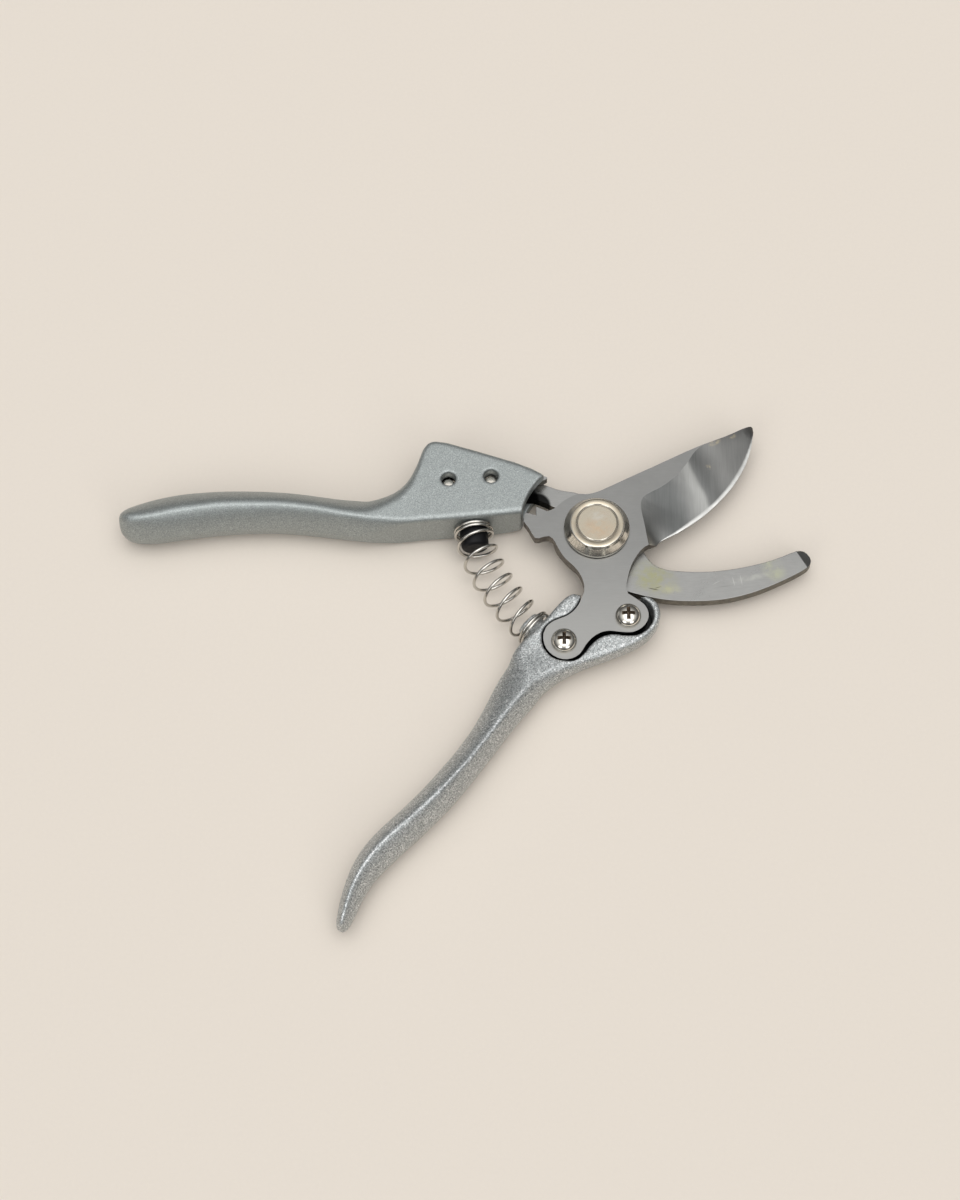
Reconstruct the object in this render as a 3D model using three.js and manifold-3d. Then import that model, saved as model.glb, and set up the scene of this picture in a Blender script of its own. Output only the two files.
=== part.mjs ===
// Bypass pruning shears with two die-cast handles, lying flat and standing fully open.
// Millimetres, +Z up.  The origin is on the pivot axis, in the plane the shears lie on.
// The upper handle holds the counter blade and runs along -X; the lower handle holds the
// cutting blade.  Closing turns the lower handle clockwise (about -Z) by 45 degrees.
import * as THREE from 'three';
import { mergeVertices } from 'three/addons/utils/BufferGeometryUtils.js';
import Module from 'manifold-3d';

// ---------------------------------------------------------------- driving dimensions
const PLATE_T = 3.3;            // thickness of both stamped plates
const COUNTER_Z0 = 4.6;         // underside of the counter blade
const COUNTER_Z1 = COUNTER_Z0 + PLATE_T;
const BLADE_Z0 = 8.1;           // underside of the cutting blade
const BLADE_Z1 = BLADE_Z0 + PLATE_T;
const PIVOT_R = 4.0;            // pivot bolt shank
const PIVOT_BORE_R = 4.08;      // running clearance in the plates
const BOLT_FLANGE_R = 9.4;
const BOLT_FACE_R = 7.75;
const BOLT_GROOVE_R = 5.8;
const BOLT_TOP_Z = 15.5;
const NUT_AF = 14.0;            // pivot nut across flats
const NUT_H = 3.5;
const HEAD_END_R = 21.8;        // concave end of the upper handle's head, about the pivot
const HEAD_Z0 = 0.9;
const HEAD_Z1 = 15.1;
const SLOT_Z0 = 4.35;           // slot in the head: counter blade's tang and the catch
const SLOT_Z1 = 11.4;
const LOWER_HEAD_Z1 = 11.45;    // top of the lower handle round the blade's tail
const RECESS_Z = 8.0;           // floor of the recess for the blade's tail
const MOAT_Z = 5.0;             // floor of the groove round the tail's seat
const MOAT_IN = 0.9;            // how far the tail overhangs its seat
const SCREW_HEAD_R = 3.65;      // M4 pan head
const SCREW_R = 1.95;
const SCREWS = [[-9.9, -35.3], [8.35, -27.6]];
const PINS = [[-42.6, 14.5], [-30.35, 15.4]];
const PIN_R = 1.9;
const PIN_HOLE_R = 2.1;
const PIN_TOP_Z = 11.7;
const WIRE_R = 0.45;            // coil spring
const COIL_R = 5.3;             // mean radius of the coils
const SPRING_Z = 8.0;           // height of the spring's axis
const SEAT_A = [-35.5, 2.15];   // spring seat on the upper handle
const SEAT_A_DIR = [0.1, -0.995];
const SEAT_B = [-17.1, -31.0];  // spring seat on the lower handle
const SEAT_B_DIR = [-0.716, 0.698];
const BUMPER_R = 4.0;
const BUMPER_L = 6.9;
const STUD_R = 3.6;             // locating stud inside the spring's lower end
const STUD_L = 4.1;
const CREST_N = 1.42;           // roundness of the grips towards their crest: 1 flat sides, 2 elliptical

// ---------------------------------------------------------------- solids
const wasm = await Module();
wasm.setup();

function solid(geometry) {
  const g = geometry.clone();
  g.deleteAttribute('normal');
  g.deleteAttribute('uv');
  const m = mergeVertices(g, 1e-4);
  const mesh = new wasm.Mesh({
    numProp: 3,
    vertProperties: new Float32Array(m.attributes.position.array),
    triVerts: new Uint32Array(m.index.array),
  });
  return new wasm.Manifold(mesh);
}

function geometryOf(manifold) {
  const m = manifold.getMesh();
  const g = new THREE.BufferGeometry();
  const pos = new Float32Array(m.numVert * 3);
  for (let i = 0; i < m.numVert; i++) {
    for (let k = 0; k < 3; k++) pos[3 * i + k] = m.vertProperties[m.numProp * i + k];
  }
  g.setAttribute('position', new THREE.BufferAttribute(pos, 3));
  g.setIndex(new THREE.BufferAttribute(new Uint32Array(m.triVerts), 1));
  g.computeVertexNormals();
  return g;
}

function shapeOf(points) {
  const s = new THREE.Shape();
  points.forEach(([x, y], i) => (i ? s.lineTo(x, y) : s.moveTo(x, y)));
  s.closePath();
  return s;
}

// flat plate with the outline given, between two heights
function plate(points, z0, z1) {
  const g = new THREE.ExtrudeGeometry(shapeOf(points), { depth: z1 - z0, bevelEnabled: false, steps: 1 });
  g.translate(0, 0, z0);
  return g;
}

// upright cylinder
function post(x, y, r, z0, z1, seg = 32) {
  const g = new THREE.CylinderGeometry(r, r, z1 - z0, seg);
  g.rotateX(Math.PI / 2);
  g.translate(x, y, (z0 + z1) / 2);
  return g;
}

// cylinder lying in the plane z = const, from a point along a direction
function rod(px, py, dx, dy, r, a, b, z, seg = 32) {
  const g = new THREE.CylinderGeometry(r, r, b - a, seg);
  g.translate(0, (a + b) / 2, 0);
  g.rotateZ(-Math.atan2(dx, dy));
  g.translate(px, py, z);
  return g;
}

function lathe(profile, seg = 48) {
  const g = new THREE.LatheGeometry(profile.map(([r, z]) => new THREE.Vector2(r, z)), seg);
  g.rotateX(Math.PI / 2);
  return g;
}

// closed outline through the points, rounded between its corners: a point where the outline
// turns by more than the limit stays a corner
function soften(points, step = 1.3, limit = 36) {
  const n = points.length;
  const turn = (i) => {
    const a = points[(i + n - 1) % n], b = points[i], c = points[(i + 1) % n];
    const u = Math.atan2(b[1] - a[1], b[0] - a[0]), v = Math.atan2(c[1] - b[1], c[0] - b[0]);
    let d = Math.abs(v - u);
    if (d > Math.PI) d = 2 * Math.PI - d;
    return THREE.MathUtils.radToDeg(d);
  };
  const corners = points.map((_, i) => i).filter((i) => turn(i) > limit);
  if (!corners.length) corners.push(0);
  const out = [];
  corners.forEach((c0, k) => {
    const c1 = corners[(k + 1) % corners.length];
    const run = [];
    for (let i = c0; ; i = (i + 1) % n) {
      run.push(points[i]);
      if (i === c1 && run.length > 1) break;
    }
    if (run.length === 2) { out.push(run[0]); return; }
    const curve = new THREE.CatmullRomCurve3(run.map(([x, y]) => new THREE.Vector3(x, y, 0)), false, 'centripetal');
    for (let i = 0; i < run.length - 1; i++) {
      const len = Math.hypot(run[i + 1][0] - run[i][0], run[i + 1][1] - run[i][1]);
      const m = Math.max(1, Math.round(len / step));
      for (let j = 0; j < m; j++) {
        const p = curve.getPoint((i + j / m) / (run.length - 1));
        out.push([p.x, p.y]);
      }
    }
  });
  return out;
}

// closed outline moved inward, square to itself
function inset(points, d) {
  const n = points.length;
  let area = 0;
  points.forEach(([x, y], i) => { const [u, v] = points[(i + 1) % n]; area += x * v - u * y; });
  const s = area > 0 ? 1 : -1;
  return points.map(([x, y], i) => {
    const a = points[(i + n - 1) % n], b = points[(i + 1) % n];
    const tx = b[0] - a[0], ty = b[1] - a[1], l = Math.hypot(tx, ty);
    return [x - (s * ty / l) * d, y + (s * tx / l) * d];
  });
}

// Cast body lofted through stations.  Every station has a point on the far and one on the
// near side of the plan outline, a bottom and a top height, and the size of the rounded
// edges: rn, rf (top, near and far side) and rb (bottom) are how far the rounding reaches in
// from the outline, hn, hf and hb its height, nt and n the roundness of top and bottom.
function castBody(stations, m = 6) {
  const K = stations.length;
  const normal = (key, other, i) => {
    const a = stations[Math.max(i - 1, 0)][key];
    const b = stations[Math.min(i + 1, K - 1)][key];
    let nx = b[1] - a[1], ny = -(b[0] - a[0]);
    const l = Math.hypot(nx, ny) || 1;
    nx /= l; ny /= l;
    const f = stations[i][key], o = stations[i][other];
    let cx = f[0] - o[0], cy = f[1] - o[1];
    const cl = Math.hypot(cx, cy) || 1;
    cx /= cl; cy /= cl;
    if (nx * cx + ny * cy < 0) { nx = -nx; ny = -ny; }
    const c = stations[i].c ?? 0;      // 1: rounding runs along the chord, 0: square to the outline
    nx = nx * (1 - c) + cx * c; ny = ny * (1 - c) + cy * c;
    const k = Math.hypot(nx, ny) || 1;
    return [nx / k, ny / k];
  };
  const pts = [];
  let M = 0;
  for (let i = 0; i < K; i++) {
    const s = stations[i];
    const pt = 2 / s.nt, pb = 2 / s.n;
    const row = [];
    const nf = normal('F', 'N', i), nn = normal('N', 'F', i);
    const w = Math.hypot(s.F[0] - s.N[0], s.F[1] - s.N[1]) / 2;
    const fit = Math.min(1, 1.97 * w / (s.rn + s.rf)), rb = Math.min(s.rb, 0.9 * w);
    const corner = (P, n, r, h, top, t) => {
      const p = top ? pt : pb, c = Math.pow(Math.cos(t), p), q = Math.pow(Math.sin(t), p);
      const inset = r * (1 - c);
      const z = top ? s.z1 - h + h * q : s.z0 + h - h * q;
      row.push([P[0] - n[0] * inset, P[1] - n[1] * inset, z]);
    };
    for (let k = 0; k <= m; k++) corner(s.F, nf, s.rf * fit, s.hf, true, (Math.PI / 2) * Math.min(k / m, 0.9999));
    for (let k = m; k >= 0; k--) corner(s.N, nn, s.rn * fit, s.hn, true, (Math.PI / 2) * Math.min(k / m, 0.9999));
    for (let k = 0; k <= m; k++) corner(s.N, nn, rb, s.hb, false, (Math.PI / 2) * Math.min(k / m, 0.9999));
    for (let k = m; k >= 0; k--) corner(s.F, nf, rb, s.hb, false, (Math.PI / 2) * Math.min(k / m, 0.9999));
    M = row.length;
    pts.push(row);
  }
  const pos = [];
  pts.forEach((r) => r.forEach((v) => pos.push(...v)));
  const idx = [];
  for (let i = 0; i < K - 1; i++) {
    for (let k = 0; k < M; k++) {
      const a = i * M + k, b = i * M + ((k + 1) % M), c = a + M, d = b + M;
      idx.push(a, c, b, b, c, d);
    }
  }
  const cap = (i, flip) => {
    const c = [0, 0, 0];
    pts[i].forEach((v) => v.forEach((x, k) => { c[k] += x / M; }));
    pos.push(...c);
    const ci = pos.length / 3 - 1;
    for (let k = 0; k < M; k++) {
      const a = i * M + k, b = i * M + ((k + 1) % M);
      if (flip) idx.push(ci, b, a); else idx.push(ci, a, b);
    }
  };
  cap(0, false);
  cap(K - 1, true);
  const g = new THREE.BufferGeometry();
  g.setAttribute('position', new THREE.Float32BufferAttribute(pos, 3));
  g.setIndex(idx);
  return g;
}

// turns a lofted body's faces outward if they point in
function outward(geometry) {
  const p = geometry.attributes.position, ix = geometry.index;
  let v = 0;
  const a = new THREE.Vector3(), b = new THREE.Vector3(), c = new THREE.Vector3();
  for (let i = 0; i < ix.count; i += 3) {
    a.fromBufferAttribute(p, ix.getX(i));
    b.fromBufferAttribute(p, ix.getX(i + 1));
    c.fromBufferAttribute(p, ix.getX(i + 2));
    v += a.dot(b.cross(c)) / 6;
  }
  if (v < 0) {
    const arr = ix.array;
    for (let i = 0; i < arr.length; i += 3) { const t = arr[i]; arr[i] = arr[i + 1]; arr[i + 1] = t; }
  }
  return geometry;
}

// values between the stations, eased with a Catmull-Rom curve
const between = (list) => (t) => {
  const i = Math.min(Math.floor(t), list.length - 2), f = t - i;
  const a = list[Math.max(i - 1, 0)], b = list[i], c = list[i + 1], d = list[Math.min(i + 2, list.length - 1)];
  return b + 0.5 * f * (c - a + f * (2 * a - 5 * b + 4 * c - d + f * (3 * (b - c) + d - a)));
};

// stations refined along smooth outlines
function refine(stations, steps) {
  const K = stations.length;
  const curve = (key) => new THREE.CatmullRomCurve3(
    stations.map((s) => new THREE.Vector3(s[key][0], s[key][1], 0)), false, 'catmullrom', 0.5);
  const cf = curve('F'), cn = curve('N');
  const keys = ['z0', 'z1', 'rn', 'rf', 'rb', 'hn', 'hf', 'hb', 'n', 'nt', 'c'];
  const at = Object.fromEntries(keys.map((k) => [k, between(stations.map((s) => s[k] ?? 0))]));
  const out = [];
  for (let i = 0; i < K - 1; i++) {
    const n = Array.isArray(steps) ? steps[i] : steps;
    for (let j = 0; j < n; j++) {
      const t = i + j / n;
      const f = cf.getPoint(t / (K - 1)), q = cn.getPoint(t / (K - 1));
      const s = { F: [f.x, f.y], N: [q.x, q.y] };
      keys.forEach((k) => { s[k] = at[k](t); });
      out.push(s);
    }
  }
  out.push(stations[K - 1]);
  return out;
}

// ---------------------------------------------------------------- upper handle
// x, middle of the grip, half width, bottom, top, how far the crest lies towards the near side,
// and how far the far side stands out past the half width
const UPPER_GRIP = [
  [-137.45, 3.5, 1.5, 5.8, 11.4, 0.30, 0.29], [-137, 3.3, 2.6, 4.1, 12.9, 0.45, 0.43], [-136, 3.05, 3.6, 2.5, 14.2, 0.70, 0.57],
  [-134.5, 3, 4.5, 1.2, 15.1, 1.15, 0.69], [-132.6, 3.2, 5.1, 0.5, 15.6, 1.60, 0.75], [-130, 3.6, 5.65, 0.15, 15.9, 1.95, 0.77],
  [-126, 4.3, 6.22, 0, 16, 1.90, 0.72], [-120.3, 5.35, 6.4, 0, 16, 1.55, 0.69], [-114.6, 6.1, 6.28, 0, 16, 1.40, 0.69],
  [-108.8, 6.64, 6.08, 0, 16, 1.15, 0.70], [-103, 6.92, 5.86, 0, 16, 1.20, 0.72], [-97.2, 6.98, 5.69, 0, 16, 1.22, 0.73],
  [-91.4, 6.84, 5.51, 0, 16, 1.20, 0.75], [-85.6, 6.35, 5.38, 0, 16, 1.25, 0.77], [-79.8, 5.6, 5.26, 0, 16, 1.35, 0.79],
  [-74, 4.8, 5.2, 0, 16, 1.80, 0.83], [-69.7, 4.35, 5.3, 0.05, 15.95, 2.05, 0.83],
];
// near outline point, far outline point, bottom, top, then the edge rounding in plan and in height:
// top near side, top far side, bottom
const UPPER_HEAD = [
  [[-65.8, -1.1], [-65.8, 9.6], 0.1, 15.85, 3.05, 6.4, 6.6, 6.4, 4.6, 6.4],
  [[-62.0, -0.65], [-62.0, 9.9], 0.2, 15.7, 2.4, 4.6, 5.4, 4.8, 3.4, 4.6],
  [[-59.0, -0.25], [-58.3, 11.1], 0.35, 15.5, 2.0, 3.2, 4.2, 3.6, 2.5, 3.2],
  [[-56.5, 0.1], [-55.0, 13.8], 0.5, 15.3, 1.7, 2.3, 3.0, 2.8, 1.9, 2.3],
  [[-54.2, 0.4], [-52.8, 17.3], 0.7, 15.2, 1.55, 1.8, 2.1, 2.1, 1.6, 1.8],
  [[-52.2, 0.65], [-51.3, 20.9], 0.8, HEAD_Z1, 1.5, 1.6, 1.5, 1.6, 1.5, 1.6],
  [[-50.3, 0.9], [-50.2, 24.2], HEAD_Z0, HEAD_Z1, 1.5, 1.6, 1.5, 1.6, 1.5, 1.6],
  [[-48.7, 1.05], [-48.7, 26.4], HEAD_Z0, HEAD_Z1, 1.5, 1.5, 1.5, 1.5, 1.5, 1.5],
  [[-47.0, 1.2], [-46.5, 27.2], HEAD_Z0, HEAD_Z1, 1.5, 1.5, 1.5, 1.5, 1.5, 1.5],
  [[-43.5, 1.45], [-43.1, 26.7], HEAD_Z0, HEAD_Z1, 1.5, 1.5, 1.5, 1.5, 1.5, 1.5],
  [[-35.5, 2.2], [-35.3, 24.25], HEAD_Z0, HEAD_Z1, 1.5, 1.5, 1.5, 1.5, 1.5, 1.5],
  [[-28.5, 2.9], [-27.5, 21.7], HEAD_Z0, HEAD_Z1, 1.5, 1.5, 1.5, 1.5, 1.6, 1.6],
  [[-24.0, 3.4], [-22.4, 19.9], HEAD_Z0, HEAD_Z1, 1.5, 1.5, 1.5, 1.5, 2.0, 2.4],
  [[-21.3, 3.75], [-18.6, 18.25], HEAD_Z0, HEAD_Z1, 1.5, 1.5, 1.5, 1.5, 2.8, 4.2],
  [[-18.5, 4.0], [-15.8, 16.7], HEAD_Z0, HEAD_Z1, 1.5, 1.5, 1.5, 1.5, 3.0, 5.0],
  [[-15.5, 4.3], [-13.8, 14.9], HEAD_Z0, HEAD_Z1, 1.5, 1.5, 1.5, 1.5, 3.0, 5.0],
  [[-12.5, 4.6], [-12.4, 11.5], HEAD_Z0, HEAD_Z1, 1.5, 1.5, 1.5, 1.5, 3.0, 5.0],
];

function upperHandle() {
  const st = UPPER_GRIP.map(([x, yc, a, z0, z1, crest, far]) => ({
    F: [x, yc + a + far], N: [x, yc - a], z0, z1, rn: a - crest, rf: (a + crest) * 0.985, rb: a * 0.9,
    hn: (z1 - z0) * 0.49, hf: (z1 - z0) * 0.49, hb: (z1 - z0) * 0.49, n: 1.85, nt: CREST_N, c: 1,
  }));
  UPPER_HEAD.forEach(([N, F, z0, z1, rn, hn, rf, hf, rb, hb], i) => {
    st.push({
      F, N, z0, z1, rn, rf, rb, hn, hf, hb, n: Math.min(1.85 + 0.05 * i, 2), nt: Math.min(1.5 + 0.12 * i, 2), c: Math.max(0, 0.75 - 0.25 * i),
    });
  });
  const steps = st.slice(1).map((s, i) => (i < 5 ? 1 : i < 15 ? 3 : i < 25 ? 2 : 1));
  let m = solid(outward(castBody(refine(st, steps), 8)));
  // concave end, struck about the pivot
  m = m.subtract(solid(post(0, 0, HEAD_END_R, -5, 25, 96)));
  // slot for the tang and the catch, open at the end and along the far side
  m = m.subtract(solid(plate([
    [-10, 5.6], [-21.5, 6.2], [-34, 6.3], [-46.6, 6.3], [-48.6, 8.3], [-48.6, 18.4], [-45.2, 21.6], [-38.6, 21.9],
    [-37.2, 23.3], [-37.2, 34], [-10, 30],
  ], SLOT_Z0, SLOT_Z1)));
  // holes of the two pins, open to the top, blind below
  PINS.forEach(([x, y]) => { m = m.subtract(solid(post(x, y, PIN_HOLE_R, 2.2, 20, 28))); });
  // blind hole for the bumper's stem
  m = m.subtract(solid(rod(...SEAT_A, ...SEAT_A_DIR, 2.05, -2.6, 4, SPRING_Z, 20)));
  return m;
}

// ---------------------------------------------------------------- lower handle
// middle of the grip x, y, half width, direction in degrees, bottom, top, how far the crest lies
// towards the near side, and how far the far side stands out past the half width
const LOWER_GRIP = [
  [-71, -118.35, 1, 73.8, 5.2, 9.6, 0.10, -0.07],
  [-70.8, -117.8, 1.45, 73.8, 3.9, 10.9, -0.09, -0.07],
  [-70.35, -116.4, 2, 73.9, 2.9, 11.7, -0.11, -0.06],
  [-69.5, -113.7, 2.45, 73.8, 2.4, 12.1, -0.27, -0.06],
  [-68.55, -110.4, 2.8, 72, 2, 12.5, -0.30, -0.05],
  [-67.15, -106.6, 3.15, 66.5, 1.45, 13, -0.17, 0.01],
  [-65.2, -102.6, 3.6, 60.3, 0.95, 13.6, 0.00, 0.08],
  [-62.85, -99.1, 4.06, 54, 0.65, 14, 0.13, 0.09],
  [-60.45, -96.15, 4.33, 48.5, 0.45, 14.3, 0.22, 0.10],
  [-57.65, -93.2, 4.44, 45, 0.35, 14.5, 0.32, 0.08],
  [-54.75, -90.35, 4.45, 43.8, 0.25, 14.7, 0.53, 0.07],
  [-51.7, -87.4, 4.4, 44.7, 0.15, 14.85, 0.70, 0.08],
  [-48.7, -84.35, 4.42, 46.6, 0.1, 15, 0.84, 0.07],
  [-45.7, -81.1, 4.43, 48.6, 0.05, 15.1, 0.97, 0.05],
  [-42.85, -77.75, 4.42, 50.2, 0, 15.2, 1.19, 0.05],
  [-40.1, -74.3, 4.38, 51.5, 0, 15.2, 1.40, 0.03],
  [-37.4, -70.8, 4.3, 53, 0, 15.1, 1.55, 0.02],
  [-34.8, -67.15, 4.3, 54.4, 0.05, 14.9, 1.63, 0.05],
  [-32.3, -63.6, 4.42, 56, 0.1, 14.65, 1.72, 0.08],
  [-29.85, -59.75, 4.65, 57.6, 0.2, 14.35, 1.86, 0.11],
  [-27.5, -55.98, 5.05, 57.6, 0.3, 14.05, 2.07, 0.15],
  [-25.25, -52.4, 5.55, 57, 0.4, 13.7, 2.33, 0.19],
  [-23.05, -48.95, 6.05, 55.2, 0.5, 13.3, 2.72, 0.18],
];
// far-left outline point, near-right outline point, bottom, top, then the edge rounding in plan and in
// height: top near side, top far side, bottom
const LOWER_HEAD = [
  [[-25.95, -42.05], [-15.9, -49.3], 0.6, 12.85, 3.3, 5.0, 7.0, 5.2, 5.8, 6.0],
  [[-25.25, -40.7], [-12.4, -46.4], 0.7, 12.4, 2.9, 3.9, 5.6, 4.2, 5.6, 6.4],
  [[-24.7, -39.4], [-9.0, -44.2], 0.8, 12.0, 2.5, 2.9, 4.0, 3.1, 5.4, 6.8],
  [[-23.9, -37.8], [-4.6, -42.05], 0.9, 11.7, 2.2, 2.1, 2.6, 2.2, 5.2, 7.2],
  [[-22.5, -35.9], [0.6, -40.05], 1.0, 11.5, 1.6, 1.6, 1.6, 1.6, 5.0, 7.6],
  [[-20.6, -33.7], [6.9, -37.5], 1.0, LOWER_HEAD_Z1, 1.3, 1.5, 1.3, 1.5, 4.8, 7.6],
  [[-18.4, -31.4], [11.9, -34.9], 1.0, LOWER_HEAD_Z1, 1.2, 1.5, 1.2, 1.5, 4.6, 7.6],
  [[-16.2, -29.2], [15.2, -32.1], 1.0, LOWER_HEAD_Z1, 1.2, 1.5, 1.2, 1.5, 4.4, 7.6],
  [[-14.3, -27.1], [17.1, -29.0], 1.0, LOWER_HEAD_Z1, 1.1, 1.5, 1.1, 1.5, 4.2, 7.6],
  [[-12.3, -24.6], [17.65, -26.0], 1.0, LOWER_HEAD_Z1, 1.0, 1.5, 1.0, 1.5, 4.0, 7.6],
  [[-10.3, -22.3], [17.0, -23.4], 1.0, LOWER_HEAD_Z1, 1.0, 1.4, 1.0, 1.4, 3.8, 7.4],
  [[-8.6, -20.9], [15.6, -21.8], 1.0, LOWER_HEAD_Z1, 0.9, 1.2, 0.9, 1.2, 3.4, 7.0],
  [[-7.1, -20.15], [13.8, -20.95], 1.1, LOWER_HEAD_Z1 - 0.1, 0.8, 1.0, 0.8, 1.0, 3.0, 6.5],
];
// outline of the cutting blade's tail, and the recess round it
const TAIL = [
  [8.46, -20.38], [10.99, -22.17], [13.1, -23.98], [14.16, -26.47], [13.75, -28.95], [12.08, -31.09], [9.6, -32.35],
  [6.21, -32.35], [2.98, -31.99], [0.41, -32.55], [-2.1, -34.3], [-3.89, -36.5], [-5.5, -39.1], [-7.8, -40.5],
  [-10.39, -40.71], [-12.95, -39.58], [-14.86, -37.47], [-15.65, -35.01], [-15.63, -32.88], [-14.96, -31.09],
  [-13.48, -29.51], [-11.51, -28.42], [-9.24, -27.5], [-7.27, -26.1], [-5.62, -23.98], [-4.5, -21.4],
];
const RECESS = [
  [10.95, -16], [10.95, -20.7], [13.2, -22.0], [14.95, -23.9], [15.65, -26.2], [15.4, -28.7], [13.85, -31.2],
  [11.3, -33.0], [7.96, -33.35], [4.2, -32.95], [1.15, -33.55], [-1.3, -35.2], [-3.17, -37.35], [-4.75, -39.6],
  [-7.1, -41.15], [-10.4, -41.2], [-13.3, -40.1], [-15.3, -37.75], [-16.1, -35.05], [-16.08, -32.7], [-15.3, -30.75],
  [-13.75, -29.1], [-11.7, -28.0], [-9.45, -27.12], [-7.55, -25.82], [-6.0, -23.75], [-4.9, -21.2], [-4.5, -16],
];

function lowerHandle() {
  const st = LOWER_GRIP.map(([x, y, a, deg, z0, z1, crest, far]) => {
    const t = THREE.MathUtils.degToRad(deg), nx = Math.sin(t), ny = -Math.cos(t);
    return {
      F: [x - nx * (a + far), y - ny * (a + far)], N: [x + nx * a, y + ny * a], z0, z1,
      rn: a - crest, rf: (a + crest) * 0.985, rb: a * 0.9,
      hn: (z1 - z0) * 0.48, hf: (z1 - z0) * 0.48, hb: (z1 - z0) * 0.48, n: 1.9, nt: CREST_N, c: 1,
    };
  });
  LOWER_HEAD.forEach(([F, N, z0, z1, rn, hn, rf, hf, rb, hb], i) => st.push({
    F, N, z0, z1, rn, rf, rb, hn, hf, hb, n: 2, nt: Math.min(1.5 + 0.12 * i, 2), c: Math.max(0, 0.8 - 0.2 * i),
  }));
  const steps = st.slice(1).map((s, i) => (i < 3 ? 1 : 2));
  let m = solid(outward(castBody(refine(st, steps), 8)));
  // flat seat for the spring's lower end, and the locating stud
  const [bx, by] = SEAT_B, [dx, dy] = SEAT_B_DIR;
  const seat = solid(rod(bx, by, dx, dy, 6.1, -5, 0, SPRING_Z, 36));
  const slab = new THREE.BoxGeometry(60, 60, LOWER_HEAD_Z1 - 0.35 - 1.3);
  slab.translate(bx, by, (LOWER_HEAD_Z1 - 0.35 + 1.3) / 2);
  m = m.add(seat.intersect(solid(slab)));
  m = m.add(solid(rod(bx, by, dx, dy, STUD_R, -4, STUD_L, SPRING_Z, 24)).intersect(solid(slab.clone())));
  // recess and the two screw holes
  m = m.subtract(solid(plate(soften(RECESS, 1.1), RECESS_Z, 20)));
  const seatOutline = inset([...TAIL, [-4.5, -14], [8.46, -14]], MOAT_IN);
  m = m.subtract(solid(plate(soften(RECESS, 1.1), MOAT_Z, RECESS_Z + 1)).subtract(solid(plate(soften(seatOutline, 1.1), 0, 20))));
  SCREWS.forEach(([x, y]) => { m = m.subtract(solid(post(x, y, 2.05, 2.6, 12, 24))); });
  return m;
}

// ---------------------------------------------------------------- cutting blade
const BLADE_OUTLINE = [
  // neck and shoulder on the right side
  [8.09, -18.12], [8.32, -16.52], [8.84, -14.13], [9.61, -11.69], [10.7, -9.44], [12.37, -6.9], [13.6, -5.7], [15.0, -4.9],
  [16.4, -4.3], [17.35, -3.85],
  // cutting edge, heel to tip
  [17.75, -3.2], [19.7, -1.85], [23.5, 0.2], [27.2, 2.68], [31.0, 5.55], [34.1, 8.42], [36.8, 11.3], [39.55, 14.65],
  [41.95, 18.35], [43.95, 22.15], [45.45, 26.3], [46.35, 30.4], [46.8, 33.1],
  // tip and back
  [46.55, 34.15], [46.0, 34.3], [43.4, 33.15], [39.3, 31.0], [33.64, 28.45], [29.14, 26.45], [24.16, 24.0], [18.53, 21.1],
  [12.93, 18.3], [8.0, 15.8], [4.12, 13.8], [1.4, 12.45], [-0.9, 11.6], [-3.0, 11.25], [-4.95, 11.37],
  // stepped lobe at the left of the pivot
  [-7.0, 10.55], [-8.9, 9.4], [-10.5, 8.1], [-11.77, 6.8], [-14.12, 5.7], [-17.33, 7.19], [-17.27, 4.38], [-20.41, 5.31],
  [-20.85, 3.9], [-20.95, 2.5], [-19.47, 0.32], [-18.6, -1.45], [-17.75, -2.85], [-16.6, -2.95], [-15.2, -2.45],
  [-13.7, -2.25], [-12.6, -3.05], [-11.95, -4.2],
  // left side of the neck
  [-11.05, -6.2], [-9.43, -9.0], [-8.1, -10.45], [-6.6, -11.95], [-5.26, -13.84], [-4.3, -16.02], [-3.85, -18.19], [-3.95, -19.9],
];
// line where the hollow grinding starts on the top face, and where it ends at the edge
const GRIND_TOP = [
  [15.35, -7.5], [14.85, -5.1], [14.55, -3.4], [14.2, -1.0], [13.85, 1.4], [13.45, 3.8], [13.05, 6.3], [13.05, 8.6], [13.75, 10.3],
  [15.7, 11.73], [18.0, 13.0], [20.21, 14.4], [22.0, 15.9], [23.6, 17.3], [25.56, 19.8], [27.3, 22.2], [28.6, 24.4],
  [30.6, 26.6], [34.6, 29.3], [39.8, 32.2], [44.6, 34.6], [47.2, 36.6],
];
const GRIND_EDGE = [
  [17.6, -5.9], [17.6, -3.95], [18.2, -2.9], [19.7, -1.85], [21.4, -0.95], [23.5, 0.2], [25.6, 1.6], [27.7, 3.05], [29.4, 4.3],
  [31.0, 5.55], [32.6, 7.0], [34.1, 8.42], [35.5, 9.8], [36.8, 11.3], [38.8, 13.7], [40.7, 16.4], [42.3, 19.0],
  [43.7, 21.7], [45.2, 25.6], [46.0, 28.8], [46.55, 31.6], [47.3, 34.6],
];

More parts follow.
